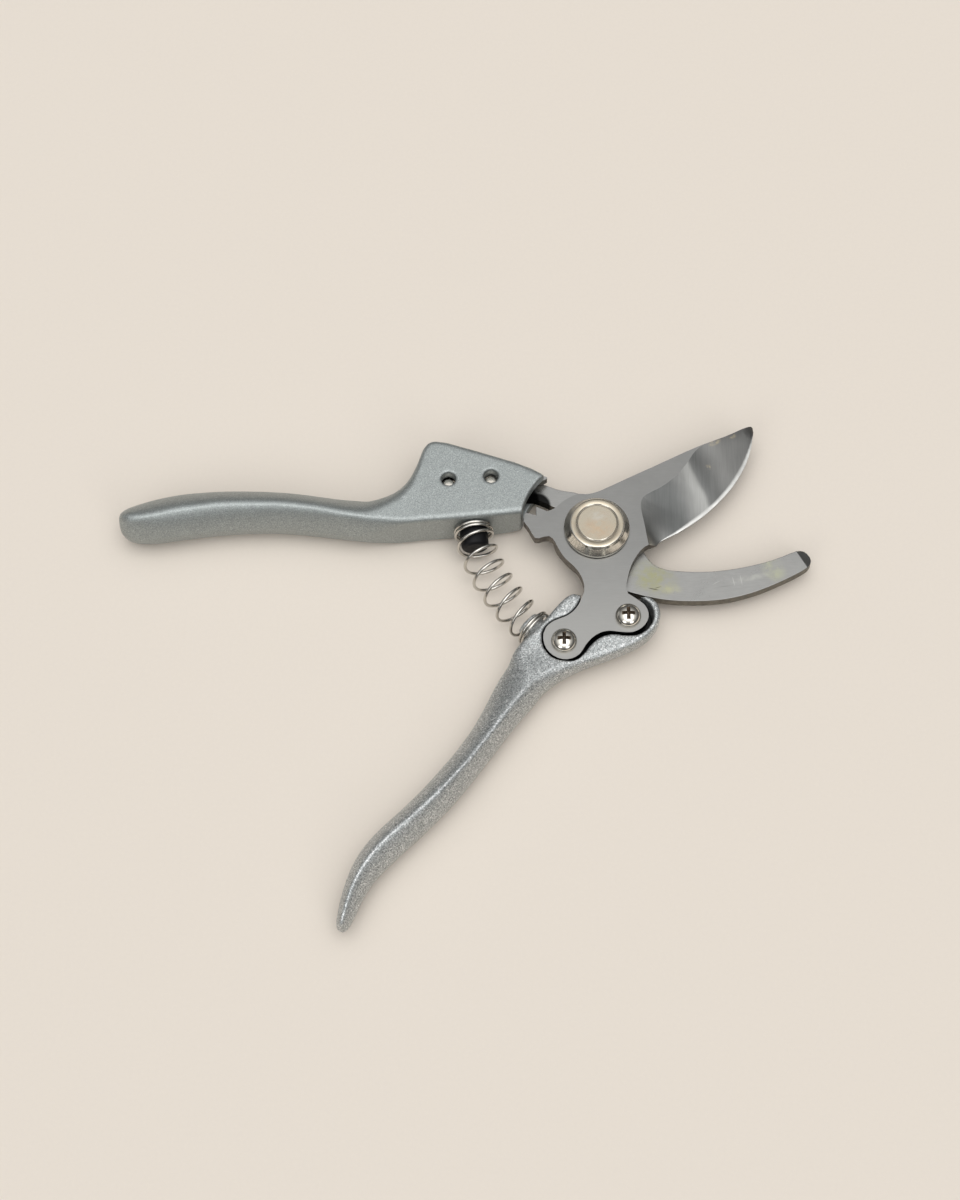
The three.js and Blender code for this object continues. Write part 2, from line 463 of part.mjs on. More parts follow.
function cuttingBlade() {
  const outline = BLADE_OUTLINE.concat(TAIL.slice().reverse().slice(0, TAIL.length));
  let m = solid(plate(soften(outline), BLADE_Z0, BLADE_Z1));
  // hollow-ground bevel: everything above a hollow surface from GRIND_TOP down to the edge
  const pos = [], idx = [];
  const along = (list) => new THREE.CatmullRomCurve3(list.map(([x, y]) => new THREE.Vector3(x, y, 0)), false, 'centripetal');
  const top = along(GRIND_TOP), edge = along(GRIND_EDGE);
  const K = 2 * GRIND_TOP.length - 1, J = 6;
  const rows = [];
  for (let i = 0; i < K; i++) {
    const { x: ax, y: ay } = top.getPoint(i / (K - 1)), { x: bx, y: by } = edge.getPoint(i / (K - 1));
    const row = [];
    const zTop = BLADE_Z1, zEdge = BLADE_Z0 + 0.28;
    const back = -0.02;
    for (let j = 0; j <= J; j++) {
      const t = j === 0 ? back : j / J;
      const lin = zTop + (zEdge - zTop) * t;
      const hollow = 0.42 * 4 * Math.max(t, 0) * (1 - Math.min(t, 1));
      row.push([ax + (bx - ax) * t, ay + (by - ay) * t, lin - hollow]);
    }
    const e = 1.35;
    row.push([ax + (bx - ax) * e, ay + (by - ay) * e, zEdge + (zEdge - zTop) * 0.02]);
    row.push([ax + (bx - ax) * e, ay + (by - ay) * e, zTop + 3]);
    row.push([ax + (bx - ax) * back, ay + (by - ay) * back, zTop + 3]);
    rows.push(row);
  }
  const M = rows[0].length;
  rows.forEach((r) => r.forEach((v) => pos.push(...v)));
  for (let i = 0; i < K - 1; i++) {
    for (let k = 0; k < M; k++) {
      const a = i * M + k, b = i * M + ((k + 1) % M), c = a + M, d = b + M;
      idx.push(a, c, b, b, c, d);
    }
  }
  [[0, false], [K - 1, true]].forEach(([i, flip]) => {
    for (let k = 1; k < M - 1; k++) {
      const a = i * M, b = i * M + k, c = i * M + k + 1;
      if (flip) idx.push(a, c, b); else idx.push(a, b, c);
    }
  });
  const g = new THREE.BufferGeometry();
  g.setAttribute('position', new THREE.Float32BufferAttribute(pos, 3));
  g.setIndex(idx);
  m = m.subtract(solid(outward(g)));
  m = m.subtract(solid(post(0, 0, PIVOT_BORE_R, 0, 20, 48)));
  SCREWS.forEach(([x, y]) => { m = m.subtract(solid(post(x, y, 2.2, 0, 20, 24))); });
  return m;
}

// ---------------------------------------------------------------- counter blade
const COUNTER_OUTLINE = [
  // throat and inner edge of the hook
  [12.95, -4.4], [13.77, -6.05], [14.45, -7.4], [15.34, -8.67], [16.4, -9.7], [17.81, -10.52], [20.73, -11.4], [23.8, -11.75],
  [26.93, -11.9], [32.37, -11.85], [37.93, -11.25], [43.46, -10.15], [49.0, -8.67], [52.74, -7.3], [56.48, -5.7],
  [58.73, -4.98], [59.8, -5.0], [60.7, -5.6], [61.45, -6.7], [61.7, -7.9], [61.35, -9.3],
  // outer edge
  [60.6, -10.4], [59.3, -11.35], [56.09, -13.2], [50.48, -16.0], [44.91, -18.3], [39.36, -19.95], [33.87, -20.9],
  [28.42, -21.2], [22.99, -21.1], [19.35, -20.75], [15.01, -19.95], [10.5, -18.75], [5.5, -17.0], [1.5, -15.3], [-2.0, -13.9],
  [-4.8, -11.9], [-7.5, -9.7], [-9.6, -7.25], [-11.3, -4.9], [-12.2, -2.4], [-12.6, 0.4], [-12.6, 3.2], [-12.25, 6.0],
  // tang in the head of the upper handle
  [-11.65, 8.59], [-16.13, 10.83], [-18.5, 11.6], [-21.5, 11.2], [-25.0, 9.9], [-30.0, 9.3], [-46.2, 9.3], [-47.6, 10.7],
  [-47.6, 16.8], [-44.8, 19.6], [-38.0, 20.9], [-34.0, 21.3], [-27.0, 20.4], [-19.5, 18.0], [-15.9, 16.6], [-13.28, 15.55],
  [-11.4, 14.75], [-8.8, 14.1], [-5.89, 13.61], [-4.79, 13.2], [-2.0, 12.9], [1.5, 12.75], [5.0, 11.8], [8.2, 9.9], [10.7, 7.2],
  [12.3, 4.0], [12.95, 0.4], [12.9, -2.4],
];

function counterBlade() {
  let m = solid(plate(soften(COUNTER_OUTLINE), COUNTER_Z0, COUNTER_Z1));
  // small facet ground at the tip of the hook
  const facet = new THREE.BoxGeometry(16, 16, 6);
  facet.translate(8, 0, 3);
  facet.rotateY(THREE.MathUtils.degToRad(24));
  facet.rotateZ(THREE.MathUtils.degToRad(30));
  facet.translate(58.9, -8.0, COUNTER_Z1 + 0.02);
  m = m.subtract(solid(facet));
  m = m.subtract(solid(post(0, 0, PIVOT_BORE_R, 0, 20, 48)));
  PINS.forEach(([x, y]) => { m = m.subtract(solid(post(x, y, PIN_R + 0.08, 0, 20, 28))); });
  return m;
}

// ---------------------------------------------------------------- pivot
function pivotBolt() {
  const z = BLADE_Z1 + 0.32;      // underside of the head, on the washer
  const g = lathe([
    [0, 0], [PIVOT_R - 0.4, 0], [PIVOT_R, 0.4], [PIVOT_R, z], [BOLT_FLANGE_R - 0.15, z], [BOLT_FLANGE_R, z + 0.15],
    [BOLT_FLANGE_R, z + 0.8], [BOLT_FLANGE_R - 0.2, z + 1.1], [BOLT_FACE_R + 0.42, z + 2.7], [BOLT_FACE_R + 0.12, BOLT_TOP_Z - 0.35],
    [BOLT_FACE_R - 0.2, BOLT_TOP_Z - 0.08], [BOLT_FACE_R - 0.55, BOLT_TOP_Z], [BOLT_GROOVE_R + 0.3, BOLT_TOP_Z],
    [BOLT_GROOVE_R + 0.08, BOLT_TOP_Z - 0.35], [BOLT_GROOVE_R - 0.12, BOLT_TOP_Z - 0.35], [BOLT_GROOVE_R - 0.32, BOLT_TOP_Z],
    [0, BOLT_TOP_Z],
  ], 48);
  return solid(g);
}

function washerRing(r0, r1, z0, z1, seg = 48) {
  return solid(lathe([[r0, z0], [r1, z0], [r1, z1], [r0, z1], [r0, z0]], seg));
}

function pivotNut() {
  const r = NUT_AF / 2 / Math.cos(Math.PI / 6);
  const hex = new THREE.CylinderGeometry(r, r, NUT_H, 6);
  hex.rotateX(Math.PI / 2);
  hex.translate(0, 0, NUT_H / 2);
  const cone = lathe([[0, -0.01], [NUT_AF / 2 - 0.35, -0.01], [NUT_AF / 2 + 1.6, 1.15], [NUT_AF / 2 + 1.6, NUT_H + 1], [0, NUT_H + 1]], 36);
  return solid(hex).intersect(solid(cone)).subtract(solid(post(0, 0, PIVOT_BORE_R, -2, 20, 48)));
}

// split spring washer under the nut
function springWasher() {
  const ring = washerRing(PIVOT_BORE_R + 0.1, 6.6, NUT_H + 0.06, COUNTER_Z0 - 0.06, 40);
  const cut = new THREE.BoxGeometry(6, 0.7, 4);
  cut.translate(6, 0, NUT_H + 0.5);
  cut.rotateZ(THREE.MathUtils.degToRad(200));
  return ring.subtract(solid(cut));
}

// ---------------------------------------------------------------- blade screws
function bladeScrew() {
  const z = BLADE_Z1 + 0.05;
  const R = SCREW_HEAD_R, h = 2.75;
  let m = solid(lathe([
    [0, 3.2], [SCREW_R - 0.5, 3.2], [SCREW_R, 3.9], [SCREW_R, z], [R - 0.05, z], [R, z + 0.4],
    [R - 0.06, z + 0.85], [R - 0.3, z + 1.4], [R - 0.72, z + 1.88], [R - 1.3, z + 2.26], [R - 2.0, z + 2.53], [R - 2.75, z + 2.69],
    [0, z + h],
  ], 36));
  // cross recess, tapering with depth
  const arm = new THREE.CylinderGeometry(2.6, 1.3, 1.9, 4);
  arm.rotateY(Math.PI / 4);
  arm.scale(1, 1, 0.29);
  arm.rotateX(Math.PI / 2);
  arm.translate(0, 0, z + h + 0.1 - 0.95);
  const a = solid(arm);
  const arm2 = arm.clone();
  arm2.rotateZ(Math.PI / 2);
  m = m.subtract(a.add(solid(arm2)));
  return m;
}

// ---------------------------------------------------------------- coil spring
// The axis bends from the square seat on the upper handle to the seat on the lower one.
class SpringWire extends THREE.Curve {
  constructor(axis, turns, closed, height) {
    super();
    this.axis = axis; this.turns = turns; this.closed = closed; this.height = height;
    this.length = axis.getLength();
  }

  getPoint(t, target = new THREE.Vector3()) {
    const n = t * this.turns;
    const endPitch = 2 * WIRE_R + 0.06;
    const c = this.closed, free = this.turns - 2 * c;
    const freeLen = this.length - 2 * c * endPitch - 2 * WIRE_R;
    let s;
    if (n < c) s = n * endPitch;
    else if (n > this.turns - c) s = this.length - 2 * WIRE_R - (this.turns - n) * endPitch;
    else {
      const f = (n - c) / free;
      const e = 0.5 * 0.12;      // short run-in where the coils open up
      const k = f < e ? (f * f) / (2 * e) : f > 1 - e ? 1 - e - ((1 - f) * (1 - f)) / (2 * e) : f - e / 2;
      s = c * endPitch + freeLen * (k / (1 - e));
    }
    const u = Math.min(Math.max((s + WIRE_R) / this.length, 0), 1);
    const p = this.axis.getPointAt(u);
    const d = this.axis.getTangentAt(u);
    const side = new THREE.Vector3(-d.y, d.x, 0);
    const a = n * 2 * Math.PI + 0.6;
    return target.set(
      p.x + side.x * COIL_R * Math.cos(a), p.y + side.y * COIL_R * Math.cos(a), this.height + COIL_R * Math.sin(a));
  }
}

function springAxis() {
  const gap = 0.12;
  const a = new THREE.Vector3(SEAT_A[0] + SEAT_A_DIR[0] * gap, SEAT_A[1] + SEAT_A_DIR[1] * gap, 0);
  const b = new THREE.Vector3(SEAT_B[0] + SEAT_B_DIR[0] * gap, SEAT_B[1] + SEAT_B_DIR[1] * gap, 0);
  const ka = 13, kb = 12;
  return new THREE.CubicBezierCurve3(
    a, new THREE.Vector3(a.x + SEAT_A_DIR[0] * ka, a.y + SEAT_A_DIR[1] * ka, 0),
    new THREE.Vector3(b.x + SEAT_B_DIR[0] * kb, b.y + SEAT_B_DIR[1] * kb, 0), b);
}

function coilSpring() {
  const turns = 9.8;
  const wire = new SpringWire(springAxis(), turns, 1.6, SPRING_Z);
  const s = new THREE.Shape();
  for (let i = 0; i < 6; i++) {
    const a = (i / 6) * Math.PI * 2;
    if (i) s.lineTo(WIRE_R * Math.cos(a), WIRE_R * Math.sin(a)); else s.moveTo(WIRE_R, 0);
  }
  s.closePath();
  return solid(new THREE.ExtrudeGeometry(s, { steps: 176, bevelEnabled: false, extrudePath: wire }));
}

// ---------------------------------------------------------------- bumper
function rubberBumper() {
  const [dx, dy] = SEAT_A_DIR;
  const g = lathe([
    [0, -2.3], [1.7, -2.3], [1.95, -2.0], [1.95, 0.12], [BUMPER_R, 0.12], [BUMPER_R, BUMPER_L - 1.2],
    [BUMPER_R - 0.3, BUMPER_L - 0.45], [BUMPER_R - 0.95, BUMPER_L], [0, BUMPER_L],
  ], 36);
  // the lathe's axis is +Z: lay it down along the seat direction
  g.rotateY(Math.PI / 2);
  g.rotateZ(Math.atan2(dy, dx));
  g.translate(SEAT_A[0], SEAT_A[1], SPRING_Z);
  return solid(g);
}

// ---------------------------------------------------------------- pins and catch
function headPin(x, y) {
  const g = lathe([
    [0, 2.5], [PIN_R - 0.3, 2.5], [PIN_R, 2.8], [PIN_R, PIN_TOP_Z - 0.45], [PIN_R - 0.5, PIN_TOP_Z - 0.08], [0, PIN_TOP_Z],
  ], 28);
  g.translate(x, y, 0);
  return solid(g);
}

const CATCH_Z0 = 8.35, CATCH_Z1 = 11.05;
function lockCatch() {
  const [px, py] = PINS[1];
  const arc = [];
  for (let i = 0; i <= 10; i++) {
    const a = THREE.MathUtils.degToRad(130 + i * 15);
    arc.push([px + 3.4 * Math.cos(a), py + 3.4 * Math.sin(a)]);
  }
  const out = arc.concat([
    [-27.0, 12.6], [-21.5, 14.6], [-17.6, 15.75], [-15.0, 15.95], [-14.15, 16.45], [-14.0, 16.85], [-14.45, 17.15], [-16.4, 17.6],
    [-19.6, 18.8],
    [-21.2, 19.6], [-22.0, 20.9], [-23.4, 21.9], [-25.0, 22.4], [-26.2, 22.2], [-27.3, 21.2], [-29.3, 20.2],
  ]);
  let m = solid(plate(out, CATCH_Z0, CATCH_Z1));
  m = m.subtract(solid(post(px, py, PIN_R + 0.08, 0, 20, 28)));
  return m;
}

// thin wave washer that keeps the catch where it is put
function catchWasher() {
  const [px, py] = PINS[1];
  return washerRing(PIN_R + 0.12, 3.2, COUNTER_Z1 + 0.04, CATCH_Z0 - 0.04, 28).translate([px, py, 0]);
}

// ---------------------------------------------------------------- scene
const group = new THREE.Group();
group.name = 'pruning_shears';

const PAINT_UPPER = { color: 0x9aa1a0, roughness: 0.42, metalness: 0.75 };
const PAINT_LOWER = { color: 0x9c9f9c, roughness: 0.42, metalness: 0.75 };
const STEEL = { color: 0x8f8f8d, roughness: 0.34, metalness: 1.0 };
const NICKEL = { color: 0xb4aea2, roughness: 0.2, metalness: 1.0 };
const SPRING_STEEL = { color: 0xa7a49d, roughness: 0.25, metalness: 1.0 };
const RUBBER = { color: 0x121315, roughness: 0.75, metalness: 0.0 };
const ZINC = { color: 0x8c8c8a, roughness: 0.4, metalness: 1.0 };

function put(name, manifold, look) {
  const mesh = new THREE.Mesh(geometryOf(manifold), new THREE.MeshStandardMaterial(look));
  mesh.name = name;
  group.add(mesh);
  return mesh;
}

put('upper_handle', upperHandle(), PAINT_UPPER);
put('lower_handle', lowerHandle(), PAINT_LOWER);
put('cutting_blade', cuttingBlade(), STEEL);
put('counter_blade', counterBlade(), STEEL);
put('pivot_bolt', pivotBolt(), NICKEL);
put('pivot_washer', washerRing(PIVOT_BORE_R + 0.05, 8.2, BLADE_Z1 + 0.05, BLADE_Z1 + 0.27, 48), ZINC);
put('spring_washer', springWasher(), ZINC);
put('pivot_nut', pivotNut(), ZINC);
SCREWS.forEach(([x, y], i) => {
  const s = put(`blade_screw_${i + 1}`, bladeScrew(), NICKEL);
  s.position.set(x, y, 0);
});
put('coil_spring', coilSpring(), SPRING_STEEL);
put('rubber_bumper', rubberBumper(), RUBBER);
put('tang_pin', headPin(...PINS[0]), NICKEL);
put('catch_pin', headPin(...PINS[1]), NICKEL);
put('lock_catch', lockCatch(), STEEL);
put('catch_washer', catchWasher(), ZINC);

export default group;
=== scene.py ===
import math

import bpy
import numpy as np
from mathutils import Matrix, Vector


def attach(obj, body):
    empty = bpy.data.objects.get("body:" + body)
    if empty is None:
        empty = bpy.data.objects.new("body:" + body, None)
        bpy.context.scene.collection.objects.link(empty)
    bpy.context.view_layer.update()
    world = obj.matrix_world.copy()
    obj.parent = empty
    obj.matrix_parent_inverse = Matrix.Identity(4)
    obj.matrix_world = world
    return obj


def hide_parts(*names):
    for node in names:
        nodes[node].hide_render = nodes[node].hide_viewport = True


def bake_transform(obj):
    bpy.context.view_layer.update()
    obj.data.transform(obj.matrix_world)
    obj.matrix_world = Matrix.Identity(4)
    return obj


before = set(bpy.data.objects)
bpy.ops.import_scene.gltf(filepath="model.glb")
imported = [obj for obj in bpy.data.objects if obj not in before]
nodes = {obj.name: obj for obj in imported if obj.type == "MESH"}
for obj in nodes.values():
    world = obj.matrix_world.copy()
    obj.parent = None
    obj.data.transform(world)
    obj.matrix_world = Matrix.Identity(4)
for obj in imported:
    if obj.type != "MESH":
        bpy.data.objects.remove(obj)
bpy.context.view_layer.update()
MM = 0.001

scene = bpy.context.scene
scene.view_settings.view_transform = "Standard"
scene.view_settings.look = "None"

# ------------------------------------------------------------------ camera
cam_data = bpy.data.cameras.new("camera")
cam = bpy.data.objects.new("camera", cam_data)
scene.collection.objects.link(cam)
cam_data.lens = 75.0
cam_data.sensor_width = 36.0
cam_data.clip_start, cam_data.clip_end = 0.05, 20.0
cam.location = (-0.033515, -0.320805, 0.654090)
cam.rotation_euler = (math.radians(24.9), 0.0, 0.0)
scene.camera = cam


# ------------------------------------------------------------------ node helpers
class Graph:
    """A material's node tree with short helpers; coordinates are the object's own, in metres."""

    def __init__(self, name):
        self.mat = bpy.data.materials.new(name)
        self.mat.use_nodes = True
        self.nt = self.mat.node_tree
        self.nt.nodes.clear()
        self.out = self.nt.nodes.new("ShaderNodeOutputMaterial")
        self.bsdf = self.nt.nodes.new("ShaderNodeBsdfPrincipled")
        self.nt.links.new(self.bsdf.outputs[0], self.out.inputs["Surface"])
        self.tc = self.nt.nodes.new("ShaderNodeTexCoord")
        self.pos = self.tc.outputs["Object"]
        self.normal = self.tc.outputs["Normal"]

    def link(self, a, b):
        self.nt.links.new(a, b)

    def put(self, socket, value):
        if isinstance(value, (int, float)):
            socket.default_value = value
        elif isinstance(value, (tuple, list)):
            v = list(value)
            if len(socket.default_value) == 4 and len(v) == 3:
                v = v + [1.0]
            socket.default_value = v
        else:
            self.link(value, socket)

    def scaled(self, scale=(1, 1, 1), rotation=(0, 0, 0), offset=(0, 0, 0), source=None):
        m = self.nt.nodes.new("ShaderNodeMapping")
        self.link(source or self.pos, m.inputs["Vector"])
        m.inputs["Scale"].default_value = scale
        m.inputs["Rotation"].default_value = rotation
        m.inputs["Location"].default_value = offset
        return m.outputs[0]

    def noise(self, scale, detail=2.0, rough=0.5, coords=None, distortion=0.0, w=None):
        n = self.nt.nodes.new("ShaderNodeTexNoise")
        self.link(coords or self.pos, n.inputs["Vector"])
        n.inputs["Scale"].default_value = scale
        n.inputs["Detail"].default_value = detail
        n.inputs["Roughness"].default_value = rough
        n.inputs["Distortion"].default_value = distortion
        return n.outputs["Fac"]

    def cells(self, scale, coords=None, output="Color", randomness=1.0):
        n = self.nt.nodes.new("ShaderNodeTexVoronoi")
        self.link(coords or self.pos, n.inputs["Vector"])
        n.inputs["Scale"].default_value = scale
        n.inputs["Randomness"].default_value = randomness
        return n.outputs[output]

    def math(self, op, a, b=None, c=None, clamp=False):
        n = self.nt.nodes.new("ShaderNodeMath")
        n.operation = op
        n.use_clamp = clamp
        self.put(n.inputs[0], a)
        if b is not None:
            self.put(n.inputs[1], b)
        if c is not None:
            self.put(n.inputs[2], c)
        return n.outputs[0]

    def span(self, value, a, b, lo=0.0, hi=1.0, smooth=False):
        """value mapped from a..b to lo..hi, clamped."""
        n = self.nt.nodes.new("ShaderNodeMapRange")
        n.interpolation_type = "SMOOTHSTEP" if smooth else "LINEAR"
        n.clamp = True
        self.put(n.inputs["Value"], value)
        n.inputs["From Min"].default_value = a
        n.inputs["From Max"].default_value = b
        n.inputs["To Min"].default_value = lo
        n.inputs["To Max"].default_value = hi
        return n.outputs["Result"]

    def mix(self, fac, a, b, blend="MIX"):
        n = self.nt.nodes.new("ShaderNodeMix")
        n.data_type = "RGBA"
        n.blend_type = blend
        n.clamp_factor = True
        self.put(n.inputs[0], fac)
        self.put(n.inputs[6], a)
        self.put(n.inputs[7], b)
        return n.outputs[2]

    def blot(self, x, y, rx, ry, angle=0.0, soft=0.5):
        """1 inside a soft ellipse in plan, centred at x, y in mm, 0 outside."""
        m = self.nt.nodes.new("ShaderNodeMapping")
        m.vector_type = "TEXTURE"
        self.link(self.pos, m.inputs["Vector"])
        m.inputs["Location"].default_value = (x * MM, y * MM, 0)
        m.inputs["Rotation"].default_value = (0, 0, math.radians(angle))
        m.inputs["Scale"].default_value = (rx * MM, ry * MM, 1.0)
        s = self.nt.nodes.new("ShaderNodeSeparateXYZ")
        self.link(m.outputs[0], s.inputs[0])
        c = self.nt.nodes.new("ShaderNodeCombineXYZ")
        self.link(s.outputs[0], c.inputs[0])
        self.link(s.outputs[1], c.inputs[1])
        v = self.nt.nodes.new("ShaderNodeVectorMath")
        v.operation = "LENGTH"
        self.link(c.outputs[0], v.inputs[0])
        return self.span(v.outputs["Value"], 1.0 + soft, 1.0 - soft, 0.0, 1.0, smooth=True)

    def split(self, vector=None):
        s = self.nt.nodes.new("ShaderNodeSeparateXYZ")
        self.link(vector or self.pos, s.inputs[0])
        return s.outputs

    def bump(self, height, distance_mm, strength=1.0, normal=None):
        n = self.nt.nodes.new("ShaderNodeBump")
        n.inputs["Strength"].default_value = strength
        n.inputs["Distance"].default_value = distance_mm * MM
        self.link(height, n.inputs["Height"])
        if normal is not None:
            self.link(normal, n.inputs["Normal"])
        return n.outputs["Normal"]

    def finish(self, color=None, rough=None, normal=None, **fixed):
        if color is not None:
            self.put(self.bsdf.inputs["Base Color"], color)
        if rough is not None:
            self.put(self.bsdf.inputs["Roughness"], rough)
        if normal is not None:
            self.link(normal, self.bsdf.inputs["Normal"])
        for k, v in fixed.items():
            self.put(self.bsdf.inputs[k.replace("_", " ")], v)
        return self.mat


# ------------------------------------------------------------------ materials
def paint(name, base, flake, sparkle=0.42, contrast=0.2, size=1.0, relief=1.0, recess=False):
    """Silver metallic sparkle enamel on a casting: fine metal flakes under a clear skin, slight orange peel."""
    g = Graph(name)
    sep = g.nt.nodes.new("ShaderNodeSeparateColor")
    g.link(g.cells(4300.0 / size), sep.inputs[0])
    sep2 = g.nt.nodes.new("ShaderNodeSeparateColor")
    g.link(g.cells(6400.0 / size), sep2.inputs[0])
    grain = g.noise(3900.0 / size, 3.0, 0.7)
    cloud = g.noise(95.0, 3.0, 0.55)
    dark = tuple(c * (1 - contrast) for c in base)
    bright = tuple(min(1.0, c * (1 + contrast)) for c in base)
    c1 = g.mix(g.span(grain, 0.36, 0.64), dark, bright)
    glint = g.span(sep.outputs[0], 0.86, 0.98)
    glint2 = g.span(sep2.outputs[1], 0.86, 0.98)
    c2 = g.mix(g.math("MULTIPLY", glint, sparkle), c1, flake)
    c3 = g.mix(g.math("MULTIPLY", glint2, sparkle * 0.9), c2, flake)
    c4 = g.mix(g.span(cloud, 0.35, 0.7, 0.0, 0.22), c3, tuple(c * 0.88 for c in base))
    rough = g.span(grain, 0.3, 0.7, 0.52, 0.40)
    peel = g.noise(520.0, 2.0, 0.5)
    n1 = g.bump(peel, 0.04, 0.5)
    n2 = g.bump(grain, 0.022 * relief, 0.7, n1)
    n3 = g.bump(sep2.outputs[1], 0.012 * relief, 0.5, n2)
    metal = 0.74
    if recess:
        # painted shade: near-black, non-metallic floor and walls of the groove round the blade's tail, where shade
        # falls
        x, y, z = g.split()[0], g.split()[1], g.split()[2]
        low = g.math("MULTIPLY", g.span(z, 0.0099, 0.0086), g.span(z, 0.0030, 0.0036))
        inside = g.math("MULTIPLY", g.span(x, -0.0185, -0.0170), g.span(y, -0.0425, -0.0415))
        inside = g.math("MULTIPLY", inside, g.span(x, 0.0200, 0.0190))
        # only surfaces seen from above or facing the seat, not the outside walls
        nz = g.span(g.split(g.normal)[2], 0.05, 0.35)
        seat = g.math("MAXIMUM", g.blot(-9.9, -35.3, 7.3, 7.3, 0.0, 0.04), g.blot(8.35, -27.6, 7.4, 7.4, 0.0, 0.04))
        seat = g.math("MAXIMUM", seat, g.blot(-1.0, -27.0, 10.5, 8.5, 20.0, 0.05))
        m = g.math("MULTIPLY", low, inside)
        m = g.math("MULTIPLY", m, g.math("MAXIMUM", nz, seat))
        recess_shade = g.mix(g.span(g.noise(900.0, 3.0, 0.6), 0.3, 0.7), (0.004, 0.004, 0.005), (0.020, 0.020, 0.020))
        c4 = g.mix(m, c4, recess_shade)
        metal = g.math("MULTIPLY", g.math("SUBTRACT", 1.0, m), 0.74)
        rough = g.math("ADD", rough, g.math("MULTIPLY", m, 0.3))
    return g.finish(c4, rough, n3, Metallic=metal, Coat_Weight=0.16, Coat_Roughness=0.30)


def steel_flat(name, base, warm, rough0=0.30, streak_angle=35.0, oil=(), scratches=(), pocket_shade=()):
    """Ground plate steel: faint directional grinding, smudges and darker stamped sides."""
    g = Graph(name)
    nz = g.math("ABSOLUTE", g.split(g.normal)[2])
    side = g.span(nz, 0.55, 0.25)
    lines = g.noise(1.0, 2.0, 0.6, g.scaled((260.0, 5200.0, 260.0), (0, 0, math.radians(-streak_angle))))
    lines2 = g.noise(1.0, 2.0, 0.6, g.scaled((420.0, 7600.0, 420.0), (0, 0, math.radians(-streak_angle - 74))))
    smudge = g.noise(115.0, 4.0, 0.6, distortion=0.6)
    speck = g.noise(1900.0, 2.0, 0.6)
    up = g.span(g.split(g.normal)[2], 0.0, 0.3)
    not_under = g.span(g.split(g.normal)[2], -0.6, -0.3)
    c = g.mix(g.span(smudge, 0.32, 0.72), tuple(x * 0.90 for x in base), tuple(min(1, x * 1.07) for x in base))
    c = g.mix(g.span(lines, 0.36, 0.66, 0.0, 0.30), c, tuple(x * 0.76 for x in base))
    c = g.mix(g.span(speck, 0.58, 0.78, 0.0, 0.28), c, warm)
    for x, y, rx, ry, a, tint, amount in oil:
        m = g.math("MULTIPLY", g.blot(x, y, rx, ry, a, 0.6), g.span(g.noise(330.0, 3.0, 0.6), 0.38, 0.62, 0.15, 1.0))
        m = g.math("MULTIPLY", m, up)
        c = g.mix(g.math("MULTIPLY", m, amount), c, tint)
    for x, y, l, w, a, tint, amount in scratches:
        c = g.mix(g.math("MULTIPLY", g.math("MULTIPLY", g.blot(x, y, l, w, a, 0.35), amount), up), c, tint)
    edge = g.mix(g.span(g.noise(700.0, 4.0, 0.65), 0.35, 0.7), tuple(x * 0.42 for x in warm), tuple(x * 0.72 for x in warm))
    c = g.mix(side, c, edge)
    r = g.span(smudge, 0.3, 0.75, rough0 - 0.05, rough0 + 0.07)
    r = g.math("ADD", r, g.span(lines, 0.3, 0.7, -0.03, 0.04))
    r = g.math("ADD", r, g.math("MULTIPLY", side, 0.16))
    # painted shade: near-black where the plate runs into the dark pocket at the handle's mouth
    for x, y, rx, ry, a in pocket_shade:
        m = g.math("MULTIPLY", g.math("MULTIPLY", g.blot(x, y, rx, ry, a, 0.12), 0.95), not_under)
        c = g.mix(m, c, (0.006, 0.006, 0.006))
        r = g.math("ADD", r, g.math("MULTIPLY", m, 0.35))
    n = g.bump(lines, 0.006, 0.35)
    n = g.bump(lines2, 0.004, 0.25, n)
    n = g.bump(g.noise(900.0, 3.0, 0.6), 0.012, 0.25, n)
    return g.finish(c, r, n, Metallic=1.0)


